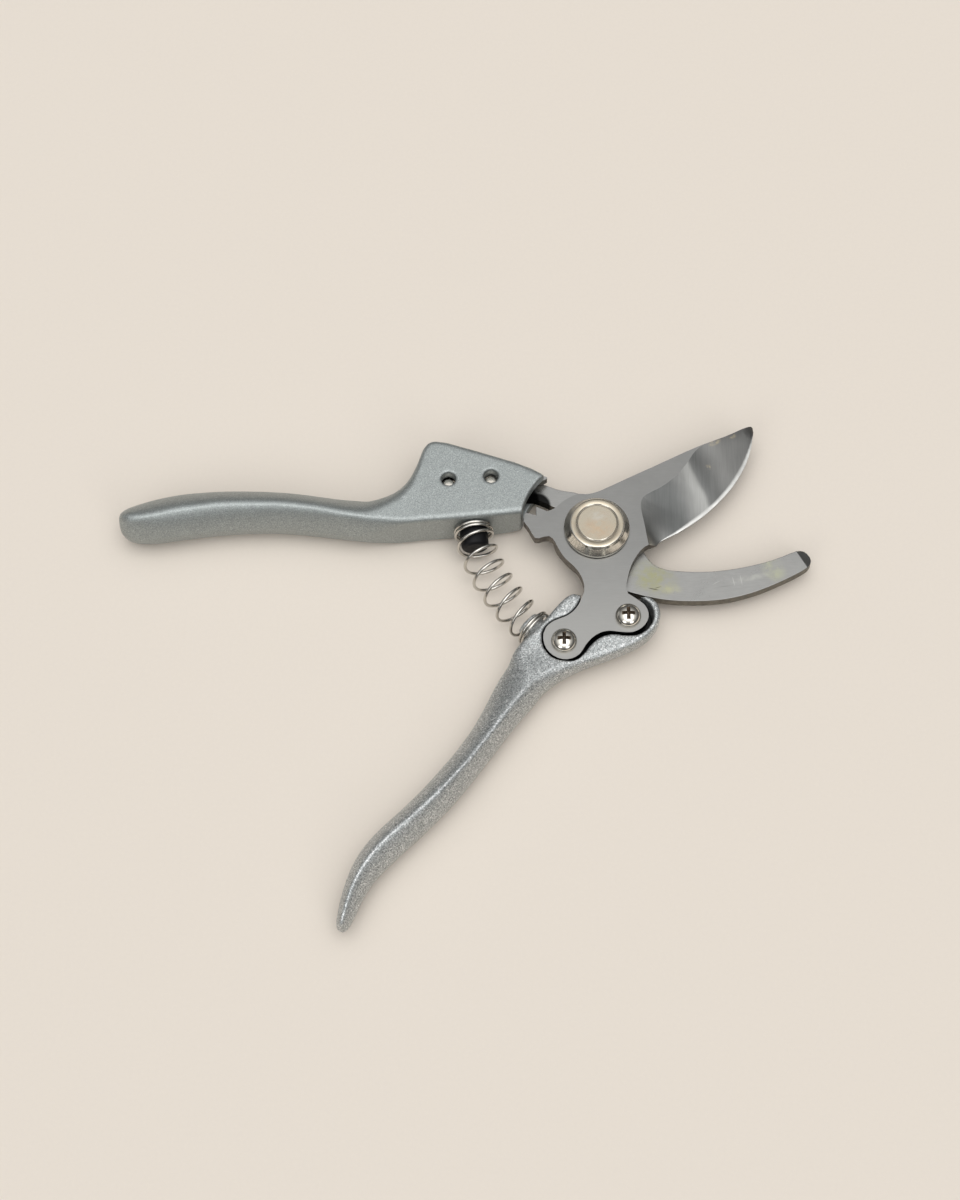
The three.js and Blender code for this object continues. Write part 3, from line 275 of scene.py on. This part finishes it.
def steel_blade(name):
    """The cutting blade: flats finely ground; the hollow-ground face is darker, with painted reflections as tone
    steps across the grind, and a painted highlight on the honed line along the edge."""
    base, warm = (0.242, 0.241, 0.234), (0.27, 0.25, 0.21)
    g = Graph(name)
    px, py, pz = g.split()[0], g.split()[1], g.split()[2]
    nz = g.math("ABSOLUTE", g.split(g.normal)[2])
    side = g.span(nz, 0.50, 0.22)
    ground = g.math("MULTIPLY", g.span(nz, 0.9985, 0.9965), g.math("SUBTRACT", 1.0, side))
    lines = g.noise(1.0, 2.0, 0.6, g.scaled((300.0, 4800.0, 300.0), (0, 0, math.radians(-28))))
    smudge = g.noise(110.0, 4.0, 0.6, distortion=0.7)
    speck = g.noise(2100.0, 2.0, 0.6)
    flat = g.mix(g.span(smudge, 0.32, 0.72), tuple(x * 0.94 for x in base), tuple(x * 1.06 for x in base))
    flat = g.mix(g.span(lines, 0.38, 0.66, 0.0, 0.22), flat, tuple(x * 0.84 for x in base))
    flat = g.mix(g.span(speck, 0.58, 0.80, 0.0, 0.25), flat, warm)
    flat = g.mix(g.span(py, -0.004, -0.030, 0.0, 0.45), flat, (0.37, 0.365, 0.350))
    # grinding marks run across the bevel, from its top line to the edge
    wob = g.math("MULTIPLY", g.math("SUBTRACT", g.noise(60.0, 2.0, 0.5), 0.5), 0.006)
    c_, s_ = math.cos(math.radians(35.3)), math.sin(math.radians(35.3))
    across = g.math("ADD", g.math("MULTIPLY", px, c_ * c_ + 0.15), g.math("MULTIPLY", py, 0.47))
    across = g.math("ADD", across, wob)
    marks = g.noise(1.0, 3.0, 0.65, g.scaled((4200.0, 120.0, 120.0), (0, 0, math.radians(36))))
    marks2 = g.noise(1.0, 2.0, 0.6, g.scaled((900.0, 60.0, 60.0), (0, 0, math.radians(36))))
    # painted reflections: the ramp lays light and dark streaks along the hollow grind
    ramp = g.nt.nodes.new("ShaderNodeValToRGB")
    ramp.color_ramp.interpolation = "B_SPLINE"
    g.link(g.span(across, 0.010, 0.060), ramp.inputs[0])
    stops = GRIND_REFLECTION_TONES
    ramp.color_ramp.elements[0].position = stops[0][0]
    ramp.color_ramp.elements[0].color = (*stops[0][1], 1)
    ramp.color_ramp.elements[1].position = stops[-1][0]
    ramp.color_ramp.elements[1].color = (*stops[-1][1], 1)
    for pos, col in stops[1:-1]:
        el = ramp.color_ramp.elements.new(pos)
        el.color = (*col, 1)
    gc = ramp.outputs[0]
    gc = g.mix(g.span(marks, 0.34, 0.66, 0.0, 0.13), gc, (0.04, 0.04, 0.04))
    gc = g.mix(g.span(marks2, 0.45, 0.70, 0.0, 0.07), gc, (0.30, 0.30, 0.29))
    c = g.mix(ground, flat, gc)
    # a little dried sap near the tip's back
    for x, y, rx, ry, a in ((35.0, 28.5, 1.6, 0.7, 25.0), (40.5, 30.8, 0.9, 0.5, 25.0), (33.2, 21.0, 0.8, 0.6, 0.0)):
        m = g.math("MULTIPLY", g.blot(x, y, rx, ry, a, 0.6), g.span(g.noise(900.0, 3.0, 0.6), 0.42, 0.6))
        c = g.mix(g.math("MULTIPLY", m, 0.5), c, (0.45, 0.38, 0.25))
    # painted highlight: the honed sliver above the cutting edge, painted bright as its reflection
    honed_highlight = g.math("MULTIPLY", g.span(pz, 0.00852, 0.00844), g.math("SUBTRACT", 1.0, side))
    honed_highlight = g.math("MULTIPLY", honed_highlight, g.span(g.split(g.normal)[2], 0.0, 0.3))
    honed_highlight = g.math("MULTIPLY", honed_highlight, g.span(g.noise(240.0, 2.0, 0.5), 0.25, 0.6, 0.55, 1.0))
    c = g.mix(honed_highlight, c, (0.62, 0.62, 0.60))
    edge = g.mix(g.span(g.noise(700.0, 4.0, 0.65), 0.35, 0.7), (0.11, 0.10, 0.09), (0.24, 0.22, 0.19))
    # painted shade: the tail's sides, which sit in the handle's seat, painted near-black
    tail = g.span(py, -0.0185, -0.0205)
    edge = g.mix(tail, edge, (0.010, 0.010, 0.010))
    # painted shade: the side faces near the handle's mouth darkened
    edge = g.mix(g.math("MULTIPLY", g.blot(-15.5, 8.5, 5.0, 5.0, 0.0, 0.25), 0.85), edge, (0.015, 0.013, 0.011))
    c = g.mix(side, c, edge)
    r_flat = g.math("ADD", g.span(smudge, 0.3, 0.75, 0.30, 0.40), g.span(lines, 0.3, 0.7, -0.03, 0.04))
    r_ground = g.math("ADD", g.span(marks, 0.3, 0.7, 0.34, 0.42), g.span(smudge, 0.3, 0.7, -0.02, 0.03))
    rm = g.nt.nodes.new("ShaderNodeMix")
    rm.data_type = "FLOAT"
    g.link(ground, rm.inputs[0])
    g.link(r_flat, rm.inputs[2])
    g.link(r_ground, rm.inputs[3])
    r = g.math("ADD", rm.outputs[0], g.math("MULTIPLY", side, 0.15))
    n = g.bump(g.math("MULTIPLY", marks, ground), 0.004, 0.2)
    n = g.bump(lines, 0.004, 0.3, n)
    n = g.bump(g.noise(900.0, 3.0, 0.6), 0.012, 0.2, n)
    return g.finish(c, r, n, Metallic=1.0)


def cross_mask(g, cx, cy, hx, hy):
    """1 inside a rectangle in plan, half sizes hx, hy in mm about cx, cy."""
    x = g.math("ABSOLUTE", g.math("SUBTRACT", g.split()[0], cx * MM))
    y = g.math("ABSOLUTE", g.math("SUBTRACT", g.split()[1], cy * MM))
    soft = 0.04 * MM
    return g.math("MULTIPLY", g.span(x, hx * MM + soft, hx * MM - soft), g.span(y, hy * MM + soft, hy * MM - soft))


def plating(name, base, rough0, centre=None, turned=False, dull=0.25, tarnish=(0.52, 0.42, 0.30), recess=False):
    """Bright nickel or zinc plating with fine turning marks and light handling wear."""
    g = Graph(name)
    worn = g.noise(480.0, 4.0, 0.6)
    fine = g.noise(3200.0, 2.0, 0.6)
    c = g.mix(g.span(worn, 0.45, 0.78, 0.0, dull), base, tarnish)
    c = g.mix(g.span(fine, 0.40, 0.70, 0.0, 0.18), c, tuple(x * 0.82 for x in base))
    r = g.span(worn, 0.3, 0.75, rough0 - 0.04, rough0 + 0.08)
    n = g.bump(fine, 0.006, 0.35)
    metal = 1.0
    if recess:
        # painted shade: dark brown inside the cross recess's outline, darkest at the bottom
        cx, cy = centre
        m = g.math("MAXIMUM", cross_mask(g, cx, cy, 1.92, 0.56), cross_mask(g, cx, cy, 0.56, 1.92))
        under = g.span(g.split()[2], 0.01416, 0.01398)
        inner = g.math("MAXIMUM", cross_mask(g, cx, cy, 1.45, 0.42), cross_mask(g, cx, cy, 0.42, 1.45))
        m = g.math("MULTIPLY", m, g.math("MAXIMUM", under, inner))
        above = g.span(g.split()[2], 0.01150, 0.01160)
        m = g.math("MULTIPLY", m, above)
        recess_shade = g.mix(g.span(g.noise(1400.0, 3.0, 0.6), 0.35, 0.65), (0.020, 0.015, 0.010), (0.16, 0.115, 0.075))
        c = g.mix(m, c, recess_shade)
        metal = g.math("SUBTRACT", 1.0, g.math("MULTIPLY", m, 0.8))
        r = g.math("ADD", r, g.math("MULTIPLY", m, 0.45))
    if turned:
        cx, cy = centre
        # painted reflection: the sloping faces painted brighter than the flat face
        slope = g.span(g.math("ABSOLUTE", g.split(g.normal)[2]), 0.97, 0.90)
        c = g.mix(slope, c, (0.74, 0.71, 0.64))
        far = g.math("MULTIPLY", slope, g.span(g.split(g.normal)[1], -0.10, 0.25))
        r = g.math("ADD", r, g.math("MULTIPLY", far, 0.30))
        # painted shade: the ring groove in the face painted dark
        groove = g.span(g.split()[2], 0.01544, 0.01532)
        top = g.math("MULTIPLY", groove, g.blot(cx, cy, 6.4, 6.4, 0.0, 0.02))
        c = g.mix(g.math("MULTIPLY", top, 0.55), c, (0.10, 0.08, 0.06))
        above = g.span(g.split()[2], 0.012, 0.013)
        stain = g.math("MULTIPLY", g.blot(0.6, -1.6, 3.6, 2.4, -12.0, 0.7), g.span(g.noise(420.0, 3.0, 0.6), 0.35, 0.62))
        c = g.mix(g.math("MULTIPLY", g.math("MULTIPLY", stain, 0.55), above), c, (0.50, 0.355, 0.23))
        pale = g.math("MULTIPLY", g.blot(0.8, 2.4, 2.6, 1.7, 10.0, 0.7), g.span(g.noise(380.0, 3.0, 0.6), 0.35, 0.62))
        c = g.mix(g.math("MULTIPLY", g.math("MULTIPLY", pale, 0.45), above), c, (0.52, 0.51, 0.48))
        shifted = g.scaled((1, 1, 0), (0, 0, 0), (-cx * MM, -cy * MM, 0))
        v = g.nt.nodes.new("ShaderNodeVectorMath")
        v.operation = "LENGTH"
        g.link(shifted, v.inputs[0])
        ring = g.nt.nodes.new("ShaderNodeCombineXYZ")
        g.link(v.outputs["Value"], ring.inputs[0])
        rings = g.noise(6200.0, 3.0, 0.6, ring.outputs[0])
        c = g.mix(g.span(rings, 0.40, 0.66, 0.0, 0.16), c, tuple(x * 0.72 for x in base))
        n = g.bump(rings, 0.008, 0.35, n)
    return g.finish(c, r, n, Metallic=metal)


def rubber(name):
    g = Graph(name)
    a = g.noise(1500.0, 4.0, 0.65)
    b = g.noise(260.0, 3.0, 0.6)
    c = g.mix(g.span(b, 0.35, 0.7), (0.003, 0.003, 0.004), (0.009, 0.009, 0.010))
    c = g.mix(g.span(a, 0.60, 0.80, 0.0, 0.5), c, (0.022, 0.022, 0.022))
    r = g.span(a, 0.3, 0.7, 0.46, 0.62)
    n = g.bump(a, 0.03, 0.4)
    n = g.bump(b, 0.05, 0.4, n)
    return g.finish(c, r, n, Metallic=0.0, Specular_IOR_Level=0.22)


# painted reflections: light and dark streaks of tone along the hollow grind, from its root to the tip
GRIND_REFLECTION_TONES = (
    (0.00, (0.420, 0.420, 0.395)), (0.05, (0.330, 0.332, 0.320)), (0.11, (0.150, 0.152, 0.148)), (0.17, (0.095, 0.098, 0.096)), (0.28, (0.105, 0.108, 0.107)),
    (0.37, (0.265, 0.265, 0.255)), (0.42, (0.400, 0.400, 0.385)), (0.445, (0.115, 0.117, 0.115)), (0.52, (0.135, 0.136, 0.132)),
    (0.60, (0.235, 0.233, 0.225)), (0.66, (0.170, 0.169, 0.163)), (0.80, (0.160, 0.159, 0.154)), (1.00, (0.240, 0.238, 0.230)),
)

PAINT_UPPER = paint("sparkle_enamel_cool", (0.325, 0.350, 0.345), (0.66, 0.70, 0.70), 0.38, 0.26, 1.15, 1.2)
PAINT_LOWER = paint("sparkle_enamel_neutral", (0.400, 0.418, 0.418), (0.98, 0.98, 0.97), 0.66, 0.62, 1.5, 2.0, recess=True)
BLADE = steel_blade("ground_blade_steel")
COUNTER = steel_flat(
    "counter_blade_steel", (0.300, 0.298, 0.289), (0.30, 0.28, 0.235), 0.30, 12.0,
    oil=((16.2, -13.8, 5.4, 4.4, -30.0, (0.30, 0.295, 0.14), 0.70), (50.5, -11.0, 2.6, 3.4, 30.0, (0.42, 0.43, 0.28), 0.55),
         (20.5, -17.2, 3.0, 1.4, -8.0, (0.42, 0.41, 0.26), 0.45), (43.5, -14.0, 5.5, 0.8, 14.0, (0.50, 0.50, 0.45), 0.35)),
    scratches=((16.0, -17.4, 1.4, 0.12, -12.0, (0.06, 0.05, 0.04), 0.9), (17.3, -16.9, 0.9, 0.10, 18.0, (0.08, 0.07, 0.05), 0.8),
               (36.0, -16.6, 2.4, 0.07, 8.0, (0.20, 0.20, 0.19), 0.8), (39.0, -15.0, 0.07, 1.3, 12.0, (0.55, 0.54, 0.52), 0.7),
               (41.2, -14.6, 0.07, 1.5, 8.0, (0.52, 0.51, 0.49), 0.7), (34.0, -15.4, 1.2, 0.06, 30.0, (0.52, 0.51, 0.49), 0.6)),
    pocket_shade=((-17.0, 9.2, 3.9, 4.2, 0.0), (-20.5, 11.0, 4.0, 5.0, 0.0)),
)
CATCH = steel_flat("catch_steel", (0.31, 0.31, 0.30), (0.28, 0.26, 0.22), 0.34, 60.0, pocket_shade=((-17.0, 9.2, 4.2, 4.6, 0.0), (-20.5, 11.0, 4.0, 5.0, 0.0)))
NICKEL_BOLT = plating("bolt_nickel", (0.44, 0.395, 0.315), 0.15, (0.0, 0.0), True, 0.50, (0.40, 0.285, 0.19))
NICKEL_1 = plating("screw_nickel_1", (0.76, 0.73, 0.66), 0.07, (-9.9, -35.3), dull=0.15, recess=True)
NICKEL_2 = plating("screw_nickel_2", (0.76, 0.73, 0.66), 0.07, (8.35, -27.6), dull=0.15, recess=True)
PIN_STEEL = plating("pin_steel", (0.60, 0.57, 0.52), 0.26, dull=0.3)
ZINC = plating("zinc_hardware", (0.42, 0.42, 0.40), 0.30, dull=0.3, tarnish=(0.30, 0.29, 0.26))
WIRE = plating("spring_wire_steel", (0.60, 0.58, 0.54), 0.17, dull=0.30, tarnish=(0.36, 0.30, 0.24))
RUBBER = rubber("bumper_rubber")


# ------------------------------------------------------------------ carried-over CAD nodes
def dress(name, material, slot=None):
    o = nodes[name]
    o.data.materials.clear()
    o.data.materials.append(material)
    for p in o.data.polygons:
        p.use_smooth = True
        p.material_index = 0
    return o


def weld(o, distance=2e-6):
    m = o.modifiers.new("weld", "WELD")
    m.merge_threshold = distance


def cast_skin(name, material, voxel=0.36, passes=4):
    """Rounds the casting's edges the way a coat of enamel does."""
    o = dress(name, material)
    weld(o)
    r = o.modifiers.new("skin", "REMESH")
    r.mode = "VOXEL"
    r.voxel_size = voxel * MM
    r.use_smooth_shade = True
    s = o.modifiers.new("ease", "SMOOTH")
    s.factor = 0.5
    s.iterations = passes
    return o


def plate_edges(name, material, width=0.12, angle=12.0, segments=2):
    """Fine broken edges on stamped and turned pieces."""
    o = dress(name, material)
    weld(o)
    d = o.modifiers.new("flats", "DECIMATE")
    d.decimate_type = "DISSOLVE"
    d.angle_limit = math.radians(0.35)
    b = o.modifiers.new("edges", "BEVEL")
    b.limit_method = "ANGLE"
    b.angle_limit = math.radians(angle)
    b.width = width * MM
    b.segments = segments
    b.use_clamp_overlap = True
    b.miter_outer = "MITER_ARC"
    w = o.modifiers.new("normals", "WEIGHTED_NORMAL")
    w.mode = "FACE_AREA_WITH_ANGLE"
    w.weight = 60
    return o


def turned_part(name, material, angle=34.0):
    """Lathed pieces: smooth round the axis, crisp only where the profile turns sharply."""
    o = dress(name, material)
    weld(o)
    e = o.modifiers.new("crisp", "EDGE_SPLIT")
    e.split_angle = math.radians(angle)
    e.use_edge_sharp = False
    return o


cast_skin("upper_handle", PAINT_UPPER)
cast_skin("lower_handle", PAINT_LOWER)
plate_edges("cutting_blade", BLADE, 0.13, 13.0)
plate_edges("counter_blade", COUNTER, 0.16, 13.0)
dress("pivot_bolt", NICKEL_BOLT)
plate_edges("pivot_washer", ZINC, 0.05, 30.0)
plate_edges("spring_washer", ZINC, 0.1, 30.0)
plate_edges("pivot_nut", ZINC, 0.2, 25.0)
turned_part("blade_screw_1", NICKEL_1)
turned_part("blade_screw_2", NICKEL_2)
plate_edges("rubber_bumper", RUBBER, 0.2, 30.0, 3)
plate_edges("tang_pin", PIN_STEEL, 0.08, 30.0)
plate_edges("catch_pin", PIN_STEEL, 0.08, 30.0)
plate_edges("lock_catch", CATCH, 0.15, 30.0)
plate_edges("catch_washer", ZINC, 0.03, 30.0)


# ------------------------------------------------------------------ spring
SEAT_A, DIR_A = np.array((-35.5, 2.15)), np.array((0.1, -0.995))
SEAT_B, DIR_B = np.array((-17.1, -31.0)), np.array((-0.716, 0.698))
WIRE_R, COIL_R, SPRING_Z, TURNS, CLOSED = 0.45, 5.3, 8.0, 9.8, 1.6


def spring_piece():
    """The same wire as the CAD spring, as one fine round tube along a curve between its two seats."""
    a = SEAT_A + DIR_A * 0.12
    b = SEAT_B + DIR_B * 0.12
    p1, p2 = a + DIR_A * 13, b + DIR_B * 12
    t = np.linspace(0, 1, 2001)[:, None]
    pts = a * (1 - t) ** 3 + 3 * p1 * t * (1 - t) ** 2 + 3 * p2 * t * t * (1 - t) + b * t ** 3
    seg = np.linalg.norm(np.diff(pts, axis=0), axis=1)
    arc = np.concatenate([[0], np.cumsum(seg)])
    length = arc[-1]
    tan = np.gradient(pts, axis=0)
    tan /= np.linalg.norm(tan, axis=1)[:, None]
    pitch = 2 * WIRE_R + 0.06
    free = TURNS - 2 * CLOSED
    free_len = length - 2 * CLOSED * pitch - 2 * WIRE_R
    steps = int(TURNS * 56)
    n = np.linspace(0, TURNS, steps + 1)
    e = 0.06
    f = np.clip((n - CLOSED) / free, 0, 1)
    k = np.where(f < e, f * f / (2 * e), np.where(f > 1 - e, 1 - e - (1 - f) ** 2 / (2 * e), f - e / 2))
    s = np.where(n < CLOSED, n * pitch,
                 np.where(n > TURNS - CLOSED, length - 2 * WIRE_R - (TURNS - n) * pitch, CLOSED * pitch + free_len * (k / (1 - e))))
    u = np.clip(s + WIRE_R, 0, length)
    cx = np.interp(u, arc, pts[:, 0])
    cy = np.interp(u, arc, pts[:, 1])
    dx = np.interp(u, arc, tan[:, 0])
    dy = np.interp(u, arc, tan[:, 1])
    ang = n * 2 * np.pi + 0.6
    line = np.stack([cx - dy * COIL_R * np.cos(ang), cy + dx * COIL_R * np.cos(ang), SPRING_Z + COIL_R * np.sin(ang)], 1)
    w_line = np.where(n < CLOSED, 0.0, np.where(n > TURNS - CLOSED, 1.0, np.clip((s - CLOSED * pitch) / free_len, 0, 1)))
    # sections square to the wire, from the coil's own radial direction
    wt = np.gradient(line, axis=0)
    wt /= np.linalg.norm(wt, axis=1)[:, None]
    radial = line - np.stack([cx, cy, np.full_like(cx, SPRING_Z)], 1)
    radial -= (radial * wt).sum(1)[:, None] * wt
    radial /= np.linalg.norm(radial, axis=1)[:, None]
    other = np.cross(wt, radial)
    ring = 12
    verts, weights = [], []
    rows = [(i, 0.0, WIRE_R) for i in range(steps + 1)]
    # rounded cut ends
    cap = [(0, -WIRE_R * 0.35 * math.sin(q), WIRE_R * (1 - 0.35 * (1 - math.cos(q)))) for q in (math.pi / 2, math.pi / 4)]
    cap2 = [(steps, WIRE_R * 0.35 * math.sin(q), WIRE_R * (1 - 0.35 * (1 - math.cos(q)))) for q in (math.pi / 4, math.pi / 2)]
    rows = cap + rows + cap2
    for i, shift, r in rows:
        for j in range(ring):
            q = 2 * math.pi * j / ring
            verts.append(line[i] + wt[i] * shift + (radial[i] * math.cos(q) + other[i] * math.sin(q)) * r)
            weights.append(w_line[i])
    faces = []
    for i in range(len(rows) - 1):
        for j in range(ring):
            k2 = (j + 1) % ring
            faces.append((i * ring + j, i * ring + k2, (i + 1) * ring + k2, (i + 1) * ring + j))
    last = (len(rows) - 1) * ring
    faces.append(tuple(range(ring))[::-1])
    faces.append(tuple(last + j for j in range(ring)))
    mesh = bpy.data.meshes.new("compression_spring")
    mesh.from_pydata([tuple(v * MM) for v in verts], [], faces)
    mesh.update()
    for p in mesh.polygons:
        p.use_smooth = True
    mesh.materials.append(WIRE)
    o = bpy.data.objects.new("compression_spring", mesh)
    scene.collection.objects.link(o)
    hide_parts("coil_spring")
    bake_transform(o)
    return o


SPRING = spring_piece()


def turned_bolt():
    """The pivot bolt's own profile, turned finely, with small radii at its corners."""
    z0, face, flange, groove, top, shank = 11.72, 7.75, 9.4, 5.8, 15.5, BOLT_SHANK
    prof = [(0, 0), (shank - 0.4, 0), (shank, 0.4), (shank, z0), (flange - 0.15, z0), (flange - 0.04, z0 + 0.04), (flange, z0 + 0.15),
            (flange, z0 + 0.72), (flange - 0.03, z0 + 0.90), (flange - 0.12, z0 + 1.03), (flange - 0.24, z0 + 1.14),
            (face + 0.46, z0 + 2.62), (face + 0.36, z0 + 2.80), (face + 0.16, top - 0.40), (face + 0.04, top - 0.22), (face - 0.12, top - 0.10),
            (face - 0.30, top - 0.03), (face - 0.52, top), (groove + 0.34, top), (groove + 0.24, top - 0.04), (groove + 0.10, top - 0.28),
            (groove + 0.02, top - 0.34), (groove - 0.08, top - 0.34), (groove - 0.16, top - 0.28), (groove - 0.30, top - 0.04),
            (groove - 0.40, top), (0, top)]
    seg = 144
    verts, faces = [], []
    for r, z in prof[1:-1]:
        for j in range(seg):
            q = 2 * math.pi * j / seg
            verts.append((r * math.cos(q) * MM, r * math.sin(q) * MM, z * MM))
    rows = len(prof) - 2
    for i in range(rows - 1):
        for j in range(seg):
            k = (j + 1) % seg
            faces.append((i * seg + j, i * seg + k, (i + 1) * seg + k, (i + 1) * seg + j))
    faces.append(tuple(range(seg))[::-1])
    last = (rows - 1) * seg
    faces.append(tuple(last + j for j in range(seg)))
    mesh = bpy.data.meshes.new("pivot_bolt_turned")
    mesh.from_pydata(verts, [], faces)
    for p in mesh.polygons:
        p.use_smooth = True
    mesh.materials.append(NICKEL_BOLT)
    o = bpy.data.objects.new("pivot_bolt_turned", mesh)
    scene.collection.objects.link(o)
    e = o.modifiers.new("crisp", "EDGE_SPLIT")
    e.split_angle = math.radians(40.0)
    e.use_edge_sharp = False
    w = o.modifiers.new("normals", "WEIGHTED_NORMAL")
    w.mode = "FACE_AREA"
    w.weight = 80
    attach(o, "upper")
    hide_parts("pivot_bolt")
    return o


BOLT_SHANK = 4.0
BOLT = turned_bolt()

# ------------------------------------------------------------------ floor and light
def stage_floor():
    g = Graph("pale_floor")
    fine = g.noise(900.0, 3.0, 0.6)
    wide = g.noise(3.0, 2.0, 0.5)
    c = g.mix(g.span(fine, 0.3, 0.7), FLOOR_LO, FLOOR_HI)
    c = g.mix(g.span(wide, 0.3, 0.7, 0.0, 0.25), c, FLOOR_HI)
    n = g.bump(fine, 0.02, 0.1)
    m = g.finish(c, 0.9, n, Metallic=0.0, Specular_IOR_Level=0.0)
    side = 6.0
    mesh = bpy.data.meshes.new("floor")
    mesh.from_pydata([(-side, -side, 0), (side, -side, 0), (side, side, 0), (-side, side, 0)], [], [(0, 1, 2, 3)])
    o = bpy.data.objects.new("floor", mesh)
    o.location.z = -0.00005
    mesh.materials.append(m)
    scene.collection.objects.link(o)


FLOOR_LO, FLOOR_HI = (0.758, 0.692, 0.616), (0.772, 0.705, 0.628)
stage_floor()

# one wide softbox overhead fading into a dark room
SKY_AXIS = (0.0, -0.05, 0.999)
SKY = ((0.0, 0.10), (0.25, 0.10), (0.50, 0.22), (0.70, 0.55), (0.84, 1.00), (0.93, 1.75), (1.0, 2.1))
SKY_TINT = (1.0, 1.0, 0.995)
# smaller soft lights round the room: direction, inner and outer angle, level
LAMPS = (
    ((-0.88, 0.42, 0.20), 8.0, 20.0, 0.25),
    ((-0.46, -0.70, 0.54), 8.0, 17.0, 1.9),
    ((0.44, -0.72, 0.54), 8.0, 17.0, 1.9),
)

world = bpy.data.worlds.new("studio")
scene.world = world
world.use_nodes = True
wt = world.node_tree
wt.nodes.clear()
wo = wt.nodes.new("ShaderNodeOutputWorld")
wb = wt.nodes.new("ShaderNodeBackground")
wt.links.new(wb.outputs[0], wo.inputs[0])
wc = wt.nodes.new("ShaderNodeTexCoord")
wd = wt.nodes.new("ShaderNodeVectorMath")
wd.operation = "DOT_PRODUCT"
wt.links.new(wc.outputs["Generated"], wd.inputs[0])
wd.inputs[1].default_value = SKY_AXIS
wr = wt.nodes.new("ShaderNodeValToRGB")
wt.links.new(wd.outputs["Value"], wr.inputs[0])
wr.color_ramp.elements[0].position = SKY[0][0]
wr.color_ramp.elements[0].color = (*(v * SKY[0][1] / 3.0 for v in SKY_TINT), 1)
wr.color_ramp.elements[1].position = SKY[-1][0]
wr.color_ramp.elements[1].color = (*(v * SKY[-1][1] / 3.0 for v in SKY_TINT), 1)
for pos, level in SKY[1:-1]:
    el = wr.color_ramp.elements.new(pos)
    el.color = (*(v * level / 3.0 for v in SKY_TINT), 1)
sky = wr.outputs[0]
for direction, inner, outer, level in LAMPS:
    ld = wt.nodes.new("ShaderNodeVectorMath")
    ld.operation = "DOT_PRODUCT"
    wt.links.new(wc.outputs["Generated"], ld.inputs[0])
    ld.inputs[1].default_value = Vector(direction).normalized()
    lr = wt.nodes.new("ShaderNodeMapRange")
    lr.interpolation_type = "SMOOTHSTEP"
    wt.links.new(ld.outputs["Value"], lr.inputs["Value"])
    lr.inputs["From Min"].default_value = math.cos(math.radians(outer))
    lr.inputs["From Max"].default_value = math.cos(math.radians(inner))
    lr.inputs["To Max"].default_value = level / 3.0
    add = wt.nodes.new("ShaderNodeVectorMath")
    add.operation = "ADD"
    wt.links.new(sky, add.inputs[0])
    wt.links.new(lr.outputs["Result"], add.inputs[1])
    sky = add.outputs["Vector"]
wt.links.new(sky, wb.inputs["Color"])
wb.inputs["Strength"].default_value = 3.0


def sun(name, toward, strength, angle, color=(1, 1, 1)):
    d = bpy.data.lights.new(name, "SUN")
    d.energy = strength
    d.angle = math.radians(angle)
    d.color = color
    o = bpy.data.objects.new(name, d)
    scene.collection.objects.link(o)
    o.rotation_euler = Vector(toward).to_track_quat("Z", "Y").to_euler()
    return o


sun("key", (0.10, -0.20, 1.0), 0.45, 60.0, (1.0, 0.995, 0.985))
